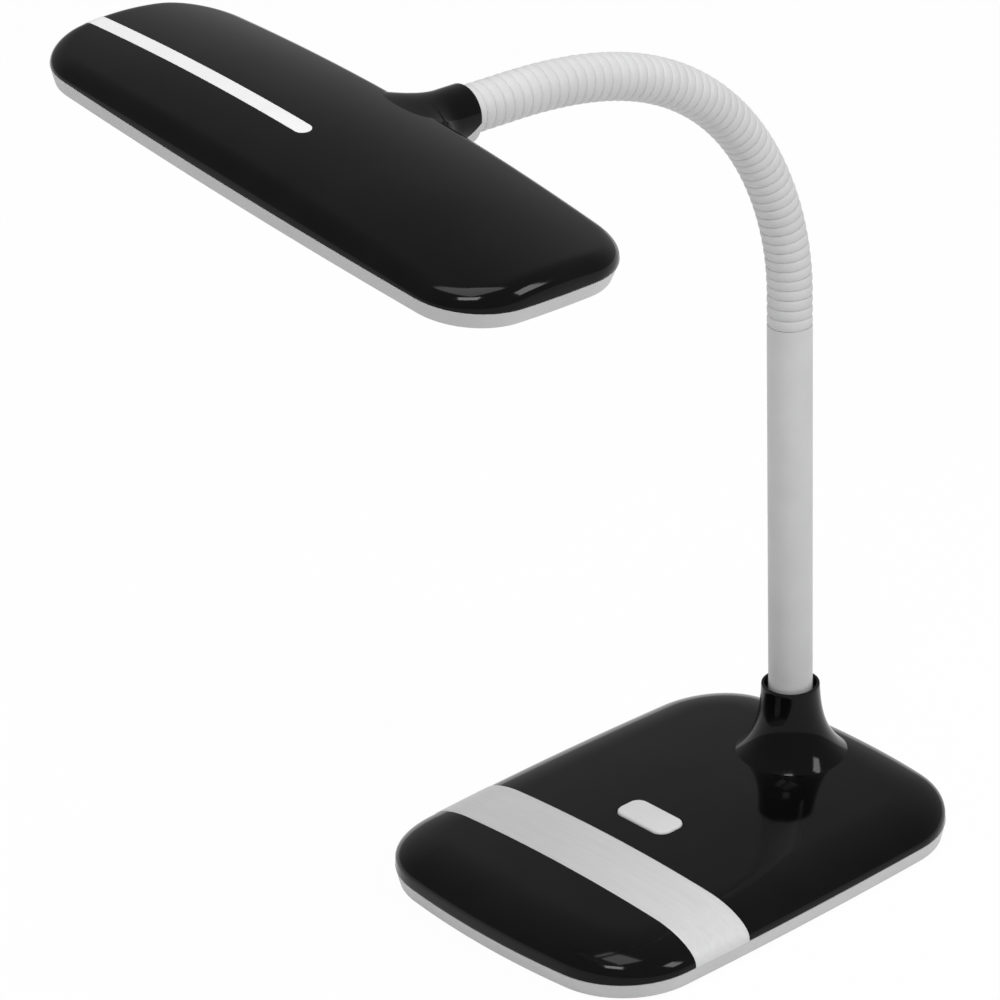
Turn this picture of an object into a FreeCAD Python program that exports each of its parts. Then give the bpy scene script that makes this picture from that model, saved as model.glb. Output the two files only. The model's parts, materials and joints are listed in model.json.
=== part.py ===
import FreeCAD, Part
import math
import os
import Sketcher
from FreeCAD import Placement, Rotation, Vector

# Gooseneck desk lamp. X is the width, the user sits at -Y, +Z is up.
# The origin is the centre of the base, on the surface that the lamp stands on.

os.makedirs("parts", exist_ok=True)
doc = FreeCAD.newDocument("desk_lamp")

# Driving dimensions, in millimetres and degrees
SIZES = [
    ("foot_standout", 1.2, "rubber foot ring below the tray"),
    ("foot_recess", 0.6, "depth of the ring's groove in the tray"),
    ("foot_inset", 5.0, "outer edge of the ring from the base outline"),
    ("foot_width", 7.0, "width of the ring"),
    ("base_width", 137.8, "base, side to side"),
    ("base_depth", 182.6, "base, front to back"),
    ("base_corner", 32.5, "corner radius of the base outline"),
    ("base_front_arc", 339.0, "radius of the bowed front and back edges"),
    ("base_side_arc", 1960.0, "radius of the bowed sides"),
    ("tray_height", 5.6, "grey wall that shows under the shell"),
    ("tray_inset", 1.25, "how far the wall leans in at its foot"),
    ("tray_floor", 2.0, "tray floor"),
    ("tray_wall", 2.4, "tray wall"),
    ("shell_rise", 13.0, "crown of the shell above the parting line"),
    ("shell_wall", 2.2, "shell wall"),
    ("shell_round", 7.0, "soft shoulder between crown and sides"),
    ("crown_fall_across", 3.4, "crown's fall from the middle to the side walls"),
    ("crown_fall_along", 1.1, "crown's fall from the middle to the front and back walls"),
    ("pole_inset", 31.2, "neck axis from the back edge of the base"),
    ("socket_rise", 40.0, "socket rim above the parting line"),
    ("socket_rim_radius", 10.6, "outer radius of the socket rim"),
    ("socket_rim_edge", 0.6, "rounding of the rim's outer edge"),
    ("socket_foot_radius", 23.0, "flare of the socket at its foot"),
    ("socket_foot_drop", 2.3, "foot of the flare below the crown around it"),
    ("socket_recess_radius", 9.4, "open ring at the top of the socket"),
    ("socket_recess_depth", 3.0, "depth of that ring"),
    ("socket_gap", 0.1, "tube in its socket, radial"),
    ("band_width", 25.0, "light band across the base"),
    ("band_front", 41.5, "band centre in front of the base centre"),
    ("band_thickness", 1.2, "band"),
    ("inlay_gap", 0.05, "light inlays in their channels, each side"),
    ("button_length", 25.0, "button along X"),
    ("button_width", 13.0, "button along Y"),
    ("button_corner", 4.4, "corner radius of the button"),
    ("button_front", 10.5, "button centre in front of the base centre"),
    ("button_proud", 0.9, "button above the crown"),
    ("button_edge", 0.7, "rounding of the button's top edge"),
    ("button_gap", 0.35, "button in its opening, each side"),
    ("button_flange", 1.3, "flange that keeps the button in, thickness"),
    ("button_lip", 1.1, "flange wider than the opening, each side"),
    ("button_rest_gap", 0.6, "flange under the shell at rest"),
    ("ballast_side_gap", 26.9, "steel weight plate from the sides of the base"),
    ("ballast_front_gap", 29.3, "front end of the plate from the base's front edge"),
    ("ballast_back_gap", 19.3, "back end of the plate from the base's back edge"),
    ("ballast_thickness", 3.2, "steel weight plate"),
    ("ballast_seat", 5.5, "underside of the plate above the tray's underside"),
    ("ballast_window_length", 54.0, "window for the board, along X"),
    ("ballast_window_width", 44.0, "window for the board, along Y"),
    ("ballast_screw_side", 6.0, "plate screws from the plate's sides"),
    ("ballast_screw_front", 8.0, "front plate screws from the plate's front end"),
    ("ballast_screw_back", 28.0, "back plate screws from the plate's back end"),
    ("boss_radius", 4.0, "screw bosses"),
    ("screw_radius", 1.5, "machine screws, shank"),
    ("screw_head_share", 1.9, "radius of every screw head, as a multiple of its shank"),
    ("screw_head_height", 1.8, "machine screws, head"),
    ("tray_screw_side", 16.9, "tray screws from the sides of the base"),
    ("tray_screw_end", 33.3, "tray screws from the front and back edges"),
    ("tray_screw_depth", 3.0, "screw in the shell's post"),
    ("screw_tip_gap", 1.0, "end of every screw's shank before the bottom of its hole"),
    ("board_length", 46.0, "control board along X"),
    ("board_width", 36.0, "control board along Y"),
    ("board_thickness", 1.2, "circuit boards"),
    ("board_seat", 7.0, "underside of the board above the tray's underside"),
    ("board_screw_radius", 1.1, "board screws, shank"),
    ("board_screw_inset", 3.5, "board screws from the board's edges"),
    ("post_radius", 2.6, "slim posts under the boards"),
    ("chip_block_length", 5.0, "driver chip on the control board, along X"),
    ("chip_block_width", 4.0, "driver chip, along Y"),
    ("chip_block_height", 1.4, "driver chip"),
    ("coil_radius", 3.5, "coil can on the control board"),
    ("can_radius", 2.5, "capacitor can on the control board"),
    ("plug_length", 6.5, "wire plugs on the control board, along X"),
    ("plug_width", 5.0, "wire plugs, along Y"),
    ("part_height", 3.2, "cans and plugs above the control board"),
    ("part_side", 12.0, "board parts from the switch, along X"),
    ("part_end", 8.5, "board parts from the switch, along Y"),
    ("switch_side", 6.2, "push switch housing"),
    ("switch_height", 3.6, "push switch housing"),
    ("plunger_radius", 1.7, "push switch plunger"),
    ("plunger_gap", 0.08, "plunger in its housing, radial"),
    ("plunger_engaged", 1.0, "plunger inside its housing at rest"),
    ("plunger_well", 2.2, "depth of the plunger's well"),
    ("inlet_above", 0.5, "inlet axis above the parting line"),
    ("inlet_across", 26.0, "inlet axis beside the middle"),
    ("inlet_nose_radius", 2.6, "inlet nose"),
    ("inlet_bore_radius", 1.8, "inlet bore"),
    ("inlet_pin_radius", 0.65, "inlet pin"),
    ("inlet_bore_depth", 8.0, "inlet bore"),
    ("inlet_length", 12.0, "inlet body along Y"),
    ("inlet_side", 6.0, "inlet body across"),
    ("inlet_set_back", 2.2, "inlet body from the shell wall"),
    ("tube_radius", 8.0, "smooth stem tube and rib crests"),
    ("core_radius", 5.6, "steel neck core, and bore of the tube and sleeve"),
    ("wire_hole_radius", 1.8, "hole for the wires through the core"),
    ("tube_top", 181.4, "top of the smooth tube above the parting line"),
    ("rib_pitch", 3.891, "rib spacing along the neck"),
    ("rib_valley_radius", 7.2, "valleys between the ribs"),
    ("rib_valley_share", 0.2, "valley floor as a share of the pitch"),
    ("rib_crest_share", 0.5, "crest as a share of the pitch"),
    ("first_ribs", 3, "ribs below the first hinge"),
    ("link_ribs", 4, "ribs of each neck link"),
    ("link_count", 12, "moving neck links"),
    ("tail_ribs", 6, "ribs behind the last hinge, one inside the head's socket"),
    ("hinge_gap", 0.8, "half of the slit at each hinge"),
    ("ball_radius", 4.0, "ball of each core link"),
    ("ball_gap", 0.05, "ball in its cup, radial"),
    ("cup_radius", 5.1, "cup of each core link"),
    ("cup_lip", 1.2, "cup lip behind the hinge"),
    ("cup_depth", 3.4, "cup in front of the hinge, up to the full core"),
    ("core_shoulder", 2.8, "full core ends this far before the ball centre"),
    ("bend_step", 39.68, "spacing of the bend values below along the neck"),
    ("bend_0", 6.02, "turn per 10 mm at the start of the bend"),
    ("bend_1", 4.93, "turn per 10 mm, one step on"),
    ("bend_2", 5.84, "turn per 10 mm, two steps on"),
    ("bend_3", 5.21, "turn per 10 mm, three steps on"),
    ("bend_4", 3.15, "turn per 10 mm, four steps on"),
    ("bend_5", 1.2, "turn per 10 mm, five steps on"),
    ("shank_radius", 4.4, "threaded foot of the core"),
    ("nut_across", 15.0, "foot nut across flats"),
    ("nut_height", 2.4, "foot nut"),
    ("washer_radius", 9.5, "foot washer"),
    ("washer_thickness", 0.8, "foot washer"),
    ("shank_floor_gap", 0.3, "threaded foot above the tray's floor"),
    ("socket_plate_gap", 0.4, "socket above the weight plate"),
    ("head_width", 215.6, "head, end to end"),
    ("head_depth", 77.4, "head, front to back"),
    ("head_corner", 23.7, "corner radius of the head outline"),
    ("head_front_arc", 2380.0, "radius of the bowed long edges"),
    ("head_side_arc", 365.0, "radius of the bowed ends"),
    ("head_roll", 7.6, "head turned about the neck, as photographed"),
    ("head_reach", 56.0, "head centre in front of the neck's end"),
    ("head_rise", 13.0, "crown of the head above its parting line"),
    ("head_round", 6.0, "rounding between crown and sides"),
    ("head_wall", 2.0, "head shell wall"),
    ("head_arc_across", 1100.0, "crown radius seen from the front"),
    ("head_arc_along", 130.0, "crown radius seen from the end"),
    ("rim_height", 5.4, "light rim under the head's parting line"),
    ("rim_inset", 1.7, "how far the rim leans in at its foot"),
    ("rim_floor", 1.6, "floor of the bottom frame"),
    ("rim_wall", 2.2, "wall of the bottom frame"),
    ("window_inset", 11.0, "light window from the head outline"),
    ("diffuser_ledge", 2.0, "ledge that carries the diffuser"),
    ("diffuser_gap", 0.3, "diffuser in its window, each side"),
    ("diffuser_thickness", 1.8, "diffuser plate"),
    ("diffuser_set_in", 0.4, "diffuser's face above the rim's foot"),
    ("collar_lip", 0.4, "neck socket past the neck's end"),
    ("collar_radius", 9.2, "neck socket's upper half, and its half width at the open end"),
    ("collar_depth", 10.8, "neck socket's lower half at its open end"),
    ("collar_low_depth", 5.0, "neck socket's lower half where it meets the head"),
    ("collar_flare", 10.8, "how much wider the socket grows on each side, at its root"),
    ("collar_flare_run", 14.0, "length of that flare"),
    ("collar_root_back", 34.0, "the flare's root behind the head centre"),
    ("collar_sunk", 5.0, "socket past its root, inside the head's shell"),
    ("skirt_depth", 5.0, "black half's skirt below the parting line"),
    ("skirt_slope_run", 5.5, "length over which the skirt rises to the open end"),
    ("collar_gap", 0.1, "sleeve in the head's socket, radial"),
    ("half_gap", 0.1, "between the upper and lower halves of the head, at the socket"),
    ("strip_width", 6.0, "light inlay on the head"),
    ("strip_front", 10.5, "inlay centre in front of the head centre"),
    ("strip_end", 3.2, "rounded end of the inlay past the middle"),
    ("strip_thickness", 1.0, "inlay"),
    ("heat_end_gap", 19.8, "heat plate from the ends of the head"),
    ("heat_width", 30.0, "heat plate along Y"),
    ("heat_thickness", 1.5, "heat plate"),
    ("heat_rise", 3.2, "underside of the heat plate above the parting line"),
    ("heat_front", 6.0, "heat plate's centre in front of the head centre"),
    ("heat_screw_end", 6.0, "heat plate screws from the plate's ends"),
    ("heat_screw_side", 6.0, "heat plate screws from the plate's long edges"),
    ("heat_screw_head", 0.9, "heat plate screws, head"),
    ("heat_screw_depth", 3.0, "hole for the heat plate screw in the shell's post"),
    ("light_board_width", 22.0, "light board along Y"),
    ("light_board_end", 12.0, "light board from the ends of the heat plate"),
    ("chip_side", 3.0, "light chip"),
    ("chip_height", 0.7, "light chip"),
    ("chip_columns", 15, "light chips along X"),
    ("chip_rows", 2, "light chips along Y"),
    ("chip_end", 6.0, "middle of the last chip from the end of the light board"),
    ("chip_side_gap", 5.5, "middle of a chip row from the light board's long edge"),
    ("head_screw_end", 19.8, "head screws from the ends of the head"),
    ("head_screw_inset", 5.8, "head screws from the long edges"),
    ("head_screw_head", 1.0, "head screws, head"),
    ("head_screw_depth", 5.0, "hole for the head screw in the shell's post"),
    ("fitting_length", 16.0, "core end fitting inside the head, past the socket wall"),
]

sizes = doc.addObject("Spreadsheet::Sheet", "sizes")
for row, (alias, value, meaning) in enumerate(SIZES, start=1):
    sizes.set(f"A{row}", meaning)
    sizes.set(f"B{row}", str(value))
    sizes.setAlias(f"B{row}", alias)
doc.recompute()


class Size:
    """A number that keeps the sheet expression it comes from."""

    def __init__(self, value, text):
        self.value = value
        self.text = text

    def __float__(self):
        return self.value

    def __neg__(self):
        return Size(-self.value, f"(-{self.text})")

    def __add__(self, other):
        other = as_size(other)
        return Size(self.value + other.value, f"({self.text} + {other.text})")

    def __sub__(self, other):
        other = as_size(other)
        return Size(self.value - other.value, f"({self.text} - {other.text})")

    def __mul__(self, other):
        other = as_size(other)
        return Size(self.value * other.value, f"({self.text} * {other.text})")

    def __truediv__(self, other):
        other = as_size(other)
        return Size(self.value / other.value, f"({self.text} / {other.text})")

    __radd__ = __add__
    __rmul__ = __mul__

    def __rsub__(self, other):
        return as_size(other) - self


def as_size(number):
    if isinstance(number, Size):
        return number
    return Size(float(number), str(number))


class Sheet:
    """Reads sheet cells by alias."""

    def __getattr__(self, alias):
        return Size(float(sizes.get(alias)), f"sizes.{alias}")


dim = Sheet()
nodes = []


def bind(item, **expressions):
    """Ties properties of an object to the sheet; x, y, z place it."""
    places = {"x": "Placement.Base.x", "y": "Placement.Base.y", "z": "Placement.Base.z"}
    for name, number in expressions.items():
        item.setExpression(places.get(name, name), as_size(number).text)
    return item


def node(item, name, placement=None):
    """Names a finished sub-part and, where it needs one, gives it its place."""
    item.Label = name
    if placement is not None:
        item.Placement = placement
    nodes.append(item)
    return item


def cylinder(name, radius, height, x=0.0, y=0.0, z=0.0):
    return bind(doc.addObject("Part::Cylinder", name), Radius=radius, Height=height, x=x, y=y, z=z)


def box(name, length, width, height, x, y, z):
    """A box centred on x and y, standing on z."""
    item = doc.addObject("Part::Box", name)
    return bind(item, Length=length, Width=width, Height=height,
                x=as_size(x) - length / 2, y=as_size(y) - width / 2, z=z)


def sphere(name, radius, z=0.0):
    return bind(doc.addObject("Part::Sphere", name), Radius=radius, z=z)


def cut(name, base, tool):
    item = doc.addObject("Part::Cut", name)
    item.Base = base
    item.Tool = tool
    return item


def fuse(name, pieces):
    item = doc.addObject("Part::MultiFuse", name)
    item.Shapes = pieces
    return item


def group(name, pieces):
    """Identical pieces that share one node as separate solids."""
    item = doc.addObject("Part::Compound", name)
    item.Links = pieces
    return item


def fixed_shape(name, shape):
    item = doc.addObject("Part::Feature", name)
    item.Shape = shape
    return item


def origin_plane(body, role):
    for feature in body.Origin.OriginFeatures:
        if feature.Role == role:
            return feature
    raise ValueError(role)


def sketch_on(body, name, role):
    sketch = body.newObject("Sketcher::SketchObject", name)
    sketch.AttachmentSupport = [(origin_plane(body, role), "")]
    sketch.MapMode = "FlatFace"
    return sketch


def draw_polygon(sketch, points):
    """A closed polygon whose corners are all tied to the sheet."""
    first = sketch.GeometryCount
    count = len(points)
    for index, (across, up) in enumerate(points):
        onward = points[(index + 1) % count]
        start = Vector(float(across), float(up), 0)
        end = Vector(float(onward[0]), float(onward[1]), 0)
        sketch.addGeometry(Part.LineSegment(start, end), False)
    for index in range(count):
        line = first + index
        following = first + (index + 1) % count
        sketch.addConstraint(Sketcher.Constraint("Coincident", line, 2, following, 1))
    for index, (across, up) in enumerate(points):
        line = first + index
        for kind, number in (("DistanceX", across), ("DistanceY", up)):
            number = as_size(number)
            if abs(number.value) < 1e-9 and "sizes" not in number.text:
                on_axis = -2 if kind == "DistanceX" else -1
                sketch.addConstraint(Sketcher.Constraint("PointOnObject", line, 1, on_axis))
                continue
            placed = sketch.addConstraint(
                Sketcher.Constraint(kind, -1, 1, line, 1, number.value))
            sketch.setExpression(f"Constraints[{placed}]", number.text)


def turned(name, points, placement=None):
    """A body turned about its own Z axis from a profile of (radius, height) corners."""
    body = doc.addObject("PartDesign::Body", name + "_body")
    sketch = sketch_on(body, name + "_profile", "XZ_Plane")
    draw_polygon(sketch, points)
    revolution = body.newObject("PartDesign::Revolution", name + "_turned")
    revolution.Profile = sketch
    revolution.ReferenceAxis = (sketch, ["V_Axis"])
    revolution.Angle = 360.0
    if placement is not None:
        body.Placement = placement
    return body


def rectangle(length, width, x=0.0, y=0.0):
    """Corners of a rectangle centred on x, y."""
    x = as_size(x)
    y = as_size(y)
    half_length = length / 2
    half_width = width / 2
    return [
        (x - half_length, y - half_width),
        (x + half_length, y - half_width),
        (x + half_length, y + half_width),
        (x - half_length, y + half_width),
    ]


def plate(name, outline, thickness, z, openings=()):
    """A flat plate padded up from z, with polygon openings cut through it."""
    body = doc.addObject("PartDesign::Body", name + "_body")
    sketch = sketch_on(body, name + "_outline", "XY_Plane")
    draw_polygon(sketch, outline)
    pad = body.newObject("PartDesign::Pad", name + "_pad")
    pad.Profile = sketch
    bind(pad, Length=thickness)
    for index, opening in enumerate(openings):
        hole_sketch = sketch_on(body, f"{name}_opening_{index}", "XY_Plane")
        draw_polygon(hole_sketch, opening)
        pocket = body.newObject("PartDesign::Pocket", f"{name}_cut_{index}")
        pocket.Profile = hole_sketch
        pocket.Reversed = True
        bind(pocket, Length=thickness)
    bind(body, z=z)
    return body


# Outlines and crowned solids of the base and the head

def outline_wire(width, depth, corner, front_arc, side_arc, inset, z):
    """Rounded rectangle with bowed edges, all arcs tangent, drawn in by inset."""
    half_width = width / 2 - inset
    half_depth = depth / 2 - inset
    corner = corner - inset
    front = front_arc - inset
    side = side_arc - inset
    corner_x = half_width - corner
    corner_y = half_depth - corner
    for _ in range(80):
        corner_y = half_depth - front + math.sqrt((front - corner) ** 2 - corner_x ** 2)
        corner_x = half_width - side + math.sqrt((side - corner) ** 2 - corner_y ** 2)
    corner_centre = Vector(corner_x, corner_y, z)
    front_centre = Vector(0, half_depth - front, z)
    side_centre = Vector(half_width - side, 0, z)
    to_front = (corner_centre - front_centre).normalize()
    to_side = (corner_centre - side_centre).normalize()
    to_middle = (to_front + to_side).normalize()
    on_front = front_centre + to_front * front
    on_side = side_centre + to_side * side
    on_corner = corner_centre + to_middle * corner

    def flip(point, across, along):
        return Vector(point.x * across, point.y * along, point.z)

    right = Vector(half_width, 0, z)
    back = Vector(0, half_depth, z)
    runs = [
        (flip(on_side, 1, -1), right, on_side),
        (on_side, on_corner, on_front),
        (on_front, back, flip(on_front, -1, 1)),
        (flip(on_front, -1, 1), flip(on_corner, -1, 1), flip(on_side, -1, 1)),
        (flip(on_side, -1, 1), flip(right, -1, 1), flip(on_side, -1, -1)),
        (flip(on_side, -1, -1), flip(on_corner, -1, -1), flip(on_front, -1, -1)),
        (flip(on_front, -1, -1), flip(back, 1, -1), flip(on_front, 1, -1)),
        (flip(on_front, 1, -1), flip(on_corner, 1, -1), flip(on_side, 1, -1)),
    ]
    return Part.Wire([Part.Arc(*run).toShape() for run in runs])


BASE = [float(number) for number in (
    dim.base_width, dim.base_depth, dim.base_corner, dim.base_front_arc, dim.base_side_arc)]
HEAD = [float(number) for number in (
    dim.head_width, dim.head_depth, dim.head_corner, dim.head_front_arc, dim.head_side_arc)]


def prism(outline, inset, low, high):
    face = Part.Face(outline_wire(*outline, inset, low))
    return face.extrude(Vector(0, 0, high - low))


def crowned(outline, inset, low, top, across, along, rounding):
    """A prism on the outline under a doubly curved crown, its upper edge rounded."""
    reach = max(outline[0], outline[1])
    top = top - inset
    across = across - inset
    along = along - inset
    walls = prism(outline, inset, low, top + 1)
    drop = across - math.sqrt(across ** 2 - reach ** 2 / 4)
    left = Vector(-reach / 2, 0, top - drop)
    right = Vector(reach / 2, 0, top - drop)
    floor_left = Vector(-reach / 2, 0, low - along / 8)
    floor_right = Vector(reach / 2, 0, low - along / 8)
    profile = Part.Wire([
        Part.Arc(left, Vector(0, 0, top), right).toShape(),
        Part.LineSegment(right, floor_right).toShape(),
        Part.LineSegment(floor_right, floor_left).toShape(),
        Part.LineSegment(floor_left, left).toShape(),
    ])
    swing = math.degrees(math.asin(min(0.9, 0.56 * outline[1] / along)))
    centre = Vector(0, 0, top - along)
    face = Part.Face(profile)
    face.rotate(centre, Vector(1, 0, 0), -swing)
    dome = face.revolve(centre, Vector(1, 0, 0), 2 * swing)
    solid = walls.common(dome)
    crown_face = max(solid.Faces, key=lambda one: one.CenterOfMass.z)
    return solid.makeFillet(rounding, crown_face.OuterWire.Edges)


def cylinder_shape(radius, height, x, y, z, direction=Vector(0, 0, 1)):
    return Part.makeCylinder(radius, height, Vector(x, y, z), direction)


def slab_shape(x_low, x_high, y_low, y_high, z_low, z_high):
    corner = Vector(x_low, y_low, z_low)
    return Part.makeBox(x_high - x_low, y_high - y_low, z_high - z_low, corner)


def rounded_slab(length, width, corner, x, y, low, high):
    """An upright prism on a rounded rectangle."""
    block = slab_shape(x - length / 2, x + length / 2, y - width / 2, y + width / 2, low, high)
    upright = [edge for edge in block.Edges
               if abs(edge.Vertexes[0].Z - edge.Vertexes[-1].Z) > (high - low) / 2]
    return block.makeFillet(corner, upright)


# Levels shared by the base pieces
under_tray = dim.foot_standout
parting = dim.foot_standout + dim.tray_height
floor_top = under_tray + dim.tray_floor
crown_top = parting + dim.shell_rise
plate_low = under_tray + dim.ballast_seat
plate_top = plate_low + dim.ballast_thickness
board_low = under_tray + dim.board_seat
board_top = board_low + dim.board_thickness
rim_top = parting + dim.socket_rise
pole_y = dim.base_depth / 2 - dim.pole_inset
button_y = -dim.button_front

SIDES = (1, -1)
CORNERS = [(across, along) for across in SIDES for along in SIDES]


half_width = float(dim.base_width) / 2
half_depth = float(dim.base_depth) / 2


def arc_radius(half_length, fall):
    """Radius of the arc that falls by so much from its middle to its ends."""
    return (half_length ** 2 + fall ** 2) / (2 * fall)


crown_across = arc_radius(half_width, float(dim.crown_fall_across))
crown_along = arc_radius(half_depth, float(dim.crown_fall_along))


def base_crown(inset, low):
    return crowned(BASE, inset, low, float(crown_top), crown_across, crown_along,
                   float(dim.shell_round) - inset)


def crown_level(x, y, inset=0.0):
    """Height of the base's crown away from its rounded edge."""
    fall_across = crown_across - math.sqrt(crown_across ** 2 - x ** 2)
    fall_along = crown_along - math.sqrt(crown_along ** 2 - y ** 2)
    return float(crown_top) - inset - fall_across - fall_along


# Rubber foot ring, set into a groove of the tray all round
foot_edge = float(dim.foot_inset)
foot_hole = float(dim.foot_inset + dim.foot_width)
foot_top = float(under_tray + dim.foot_recess)
foot_ring = prism(BASE, foot_edge, 0.0, foot_top).cut(prism(BASE, foot_hole, 0.0, foot_top))
node(fixed_shape("foot_ring", foot_ring), "rubber_foot_ring")

# Tray under the base: leaning wall, floor, bosses and seats
tray_outer = Part.makeLoft([
    outline_wire(*BASE, float(dim.tray_inset), float(under_tray)),
    outline_wire(*BASE, 0.0, float(parting)),
], True, True)
tray_inside = prism(BASE, float(dim.tray_wall + dim.tray_inset), float(floor_top), float(parting) + 1)
tray = tray_outer.cut(tray_inside)
screw_spots = [(across * (half_width - float(dim.tray_screw_side)),
                along * (half_depth - float(dim.tray_screw_end)))
               for across, along in CORNERS]
ballast_half = half_width - float(dim.ballast_side_gap)
ballast_front = -half_depth + float(dim.ballast_front_gap)
ballast_back = half_depth - float(dim.ballast_back_gap)
ballast_spots = [(across * (ballast_half - float(dim.ballast_screw_side)), y)
                 for across in SIDES
                 for y in (ballast_front + float(dim.ballast_screw_front),
                           ballast_back - float(dim.ballast_screw_back))]
board_spots = []
for across, along in CORNERS:
    spot_x = float(dim.board_length) / 2 - float(dim.board_screw_inset)
    spot_y = float(dim.board_width) / 2 - float(dim.board_screw_inset)
    board_spots.append((across * spot_x, float(button_y) + along * spot_y))
for x, y in screw_spots:
    tray = tray.fuse(cylinder_shape(float(dim.boss_radius), float(parting - floor_top), x, y,
                                    float(floor_top)))
for x, y in ballast_spots:
    tray = tray.fuse(cylinder_shape(float(dim.boss_radius), float(plate_low - floor_top), x, y,
                                    float(floor_top)))
for x, y in board_spots:
    tray = tray.fuse(cylinder_shape(float(dim.post_radius), float(board_low - floor_top), x, y,
                                    float(floor_top)))
for x, y in screw_spots:
    tray = tray.cut(cylinder_shape(float(dim.screw_radius * dim.screw_head_share),
                                   float(dim.screw_head_height), x, y, float(under_tray)))
    tray = tray.cut(cylinder_shape(float(dim.screw_radius), float(dim.tray_height), x, y,
                                   float(under_tray)))
for x, y in ballast_spots:
    tray = tray.cut(cylinder_shape(float(dim.screw_radius), float(plate_low - floor_top), x, y,
                                   float(floor_top)))
for x, y in board_spots:
    tray = tray.cut(cylinder_shape(float(dim.board_screw_radius), float(board_low - floor_top), x, y,
                                   float(floor_top)))
tray = tray.cut(foot_ring)
back_arc = float(dim.base_front_arc)
inlet_x = float(dim.inlet_across)
inlet_z = float(parting + dim.inlet_above)
inlet_edge = float(dim.base_depth) / 2 - back_arc + math.sqrt(back_arc ** 2 - inlet_x ** 2)
wall = float(dim.shell_wall)
along_back = Vector(0, 1, 0)
nose_hole = cylinder_shape(float(dim.inlet_nose_radius), wall * 4, inlet_x, inlet_edge - wall * 2,
                           inlet_z, along_back)
inlet_half = float(dim.inlet_side) / 2
inlet_back = inlet_edge - wall - float(dim.inlet_set_back)
inlet_seat = slab_shape(inlet_x - inlet_half, inlet_x + inlet_half,
                        inlet_back - float(dim.inlet_length), inlet_back, float(floor_top),
                        inlet_z - inlet_half)
tray = tray.fuse(inlet_seat).cut(nose_hole)
node(fixed_shape("tray", tray.removeSplitter()), "base_bottom_tray")

# Shell of the base with its flared socket, openings, channel and screw posts
shell_low = float(parting)
outer = base_crown(0.0, shell_low)
inner = base_crown(wall, shell_low)
pole = Vector(0, float(pole_y), 0)
rim_radius = float(dim.socket_rim_radius)
foot_flare = float(dim.socket_foot_radius)
flare_low = crown_level(0.0, float(pole_y)) - float(dim.socket_foot_drop)
flare_height = float(rim_top) - flare_low
flare_width = foot_flare - rim_radius
rim_edge = float(dim.socket_rim_edge)
# The flare's curve: each pole's share of the width and height from the rim to the foot
FLARE_POLES = ((0.04, 0.43), (0.27, 0.73), (1.0, 1.0))
flare_curve = Part.BezierCurve()
flare_curve.setPoles([Vector(rim_radius, 0, float(rim_top) - rim_edge)] + [
    Vector(rim_radius + flare_width * out, 0, float(rim_top) - flare_height * down)
    for out, down in FLARE_POLES])
bore_radius = float(dim.tube_radius + dim.socket_gap)
boss_low = float(plate_top + dim.socket_plate_gap)
flare_profile = Part.Wire([
    flare_curve.toShape(),
    Part.LineSegment(Vector(foot_flare, 0, flare_low), Vector(foot_flare / 2, 0, boss_low)).toShape(),
    Part.LineSegment(Vector(foot_flare / 2, 0, boss_low), Vector(bore_radius, 0, boss_low)).toShape(),
    Part.LineSegment(Vector(bore_radius, 0, boss_low),
                     Vector(bore_radius, 0, float(rim_top - dim.socket_recess_depth))).toShape(),
    Part.LineSegment(Vector(bore_radius, 0, float(rim_top - dim.socket_recess_depth)),
                     Vector(float(dim.socket_recess_radius), 0,
                            float(rim_top - dim.socket_recess_depth))).toShape(),
    Part.LineSegment(Vector(float(dim.socket_recess_radius), 0,
                            float(rim_top - dim.socket_recess_depth)),
                     Vector(float(dim.socket_recess_radius), 0, float(rim_top))).toShape(),
    Part.LineSegment(Vector(float(dim.socket_recess_radius), 0, float(rim_top)),
                     Vector(rim_radius - rim_edge, 0, float(rim_top))).toShape(),
    Part.Arc(Vector(rim_radius - rim_edge, 0, float(rim_top)),
             Vector(rim_radius - rim_edge * (1 - math.sqrt(0.5)), 0,
                    float(rim_top) - rim_edge * (1 - math.sqrt(0.5))),
             Vector(rim_radius, 0, float(rim_top) - rim_edge)).toShape(),
])
flare = Part.Face(flare_profile).revolve(Vector(0, 0, 0), Vector(0, 0, 1), 360)
flare.translate(pole)
band_low = -float(dim.band_front) - float(dim.band_width) / 2
band_high = -float(dim.band_front) + float(dim.band_width) / 2
gap = float(dim.inlay_gap)
band_floor = base_crown(float(dim.band_thickness) + gap, shell_low)
channel = slab_shape(-half_depth, half_depth, band_low - gap, band_high + gap, 0.0,
                     float(rim_top))
shell = outer.cut(inner).cut(channel).fuse(band_floor.cut(inner).common(channel))
shell = shell.cut(cylinder_shape(bore_radius, float(crown_top), 0, float(pole_y), shell_low))
shell = shell.fuse(flare)
for x, y in screw_spots:
    post = cylinder_shape(float(dim.boss_radius), float(crown_top) - shell_low, x, y, shell_low)
    shell = shell.fuse(post.common(band_floor))
    shell = shell.cut(cylinder_shape(float(dim.screw_radius), float(dim.tray_screw_depth), x, y,
                                     shell_low))
button_hole_length = float(dim.button_length + 2 * dim.button_gap)
button_hole_width = float(dim.button_width + 2 * dim.button_gap)
button_hole = rounded_slab(button_hole_length, button_hole_width,
                           float(dim.button_corner + dim.button_gap), 0, float(button_y),
                           shell_low, float(crown_top) + 1)
shell = shell.cut(button_hole)
shell = shell.cut(nose_hole)
node(fixed_shape("shell", shell.removeSplitter()), "base_top_shell")

# Light band laid into the shell, over the top and down both sides
band = outer.common(slab_shape(-half_depth, half_depth, band_low, band_high, 0.0,
                               float(rim_top))).cut(base_crown(float(dim.band_thickness), shell_low))
node(fixed_shape("band", band), "base_accent_band")

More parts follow.
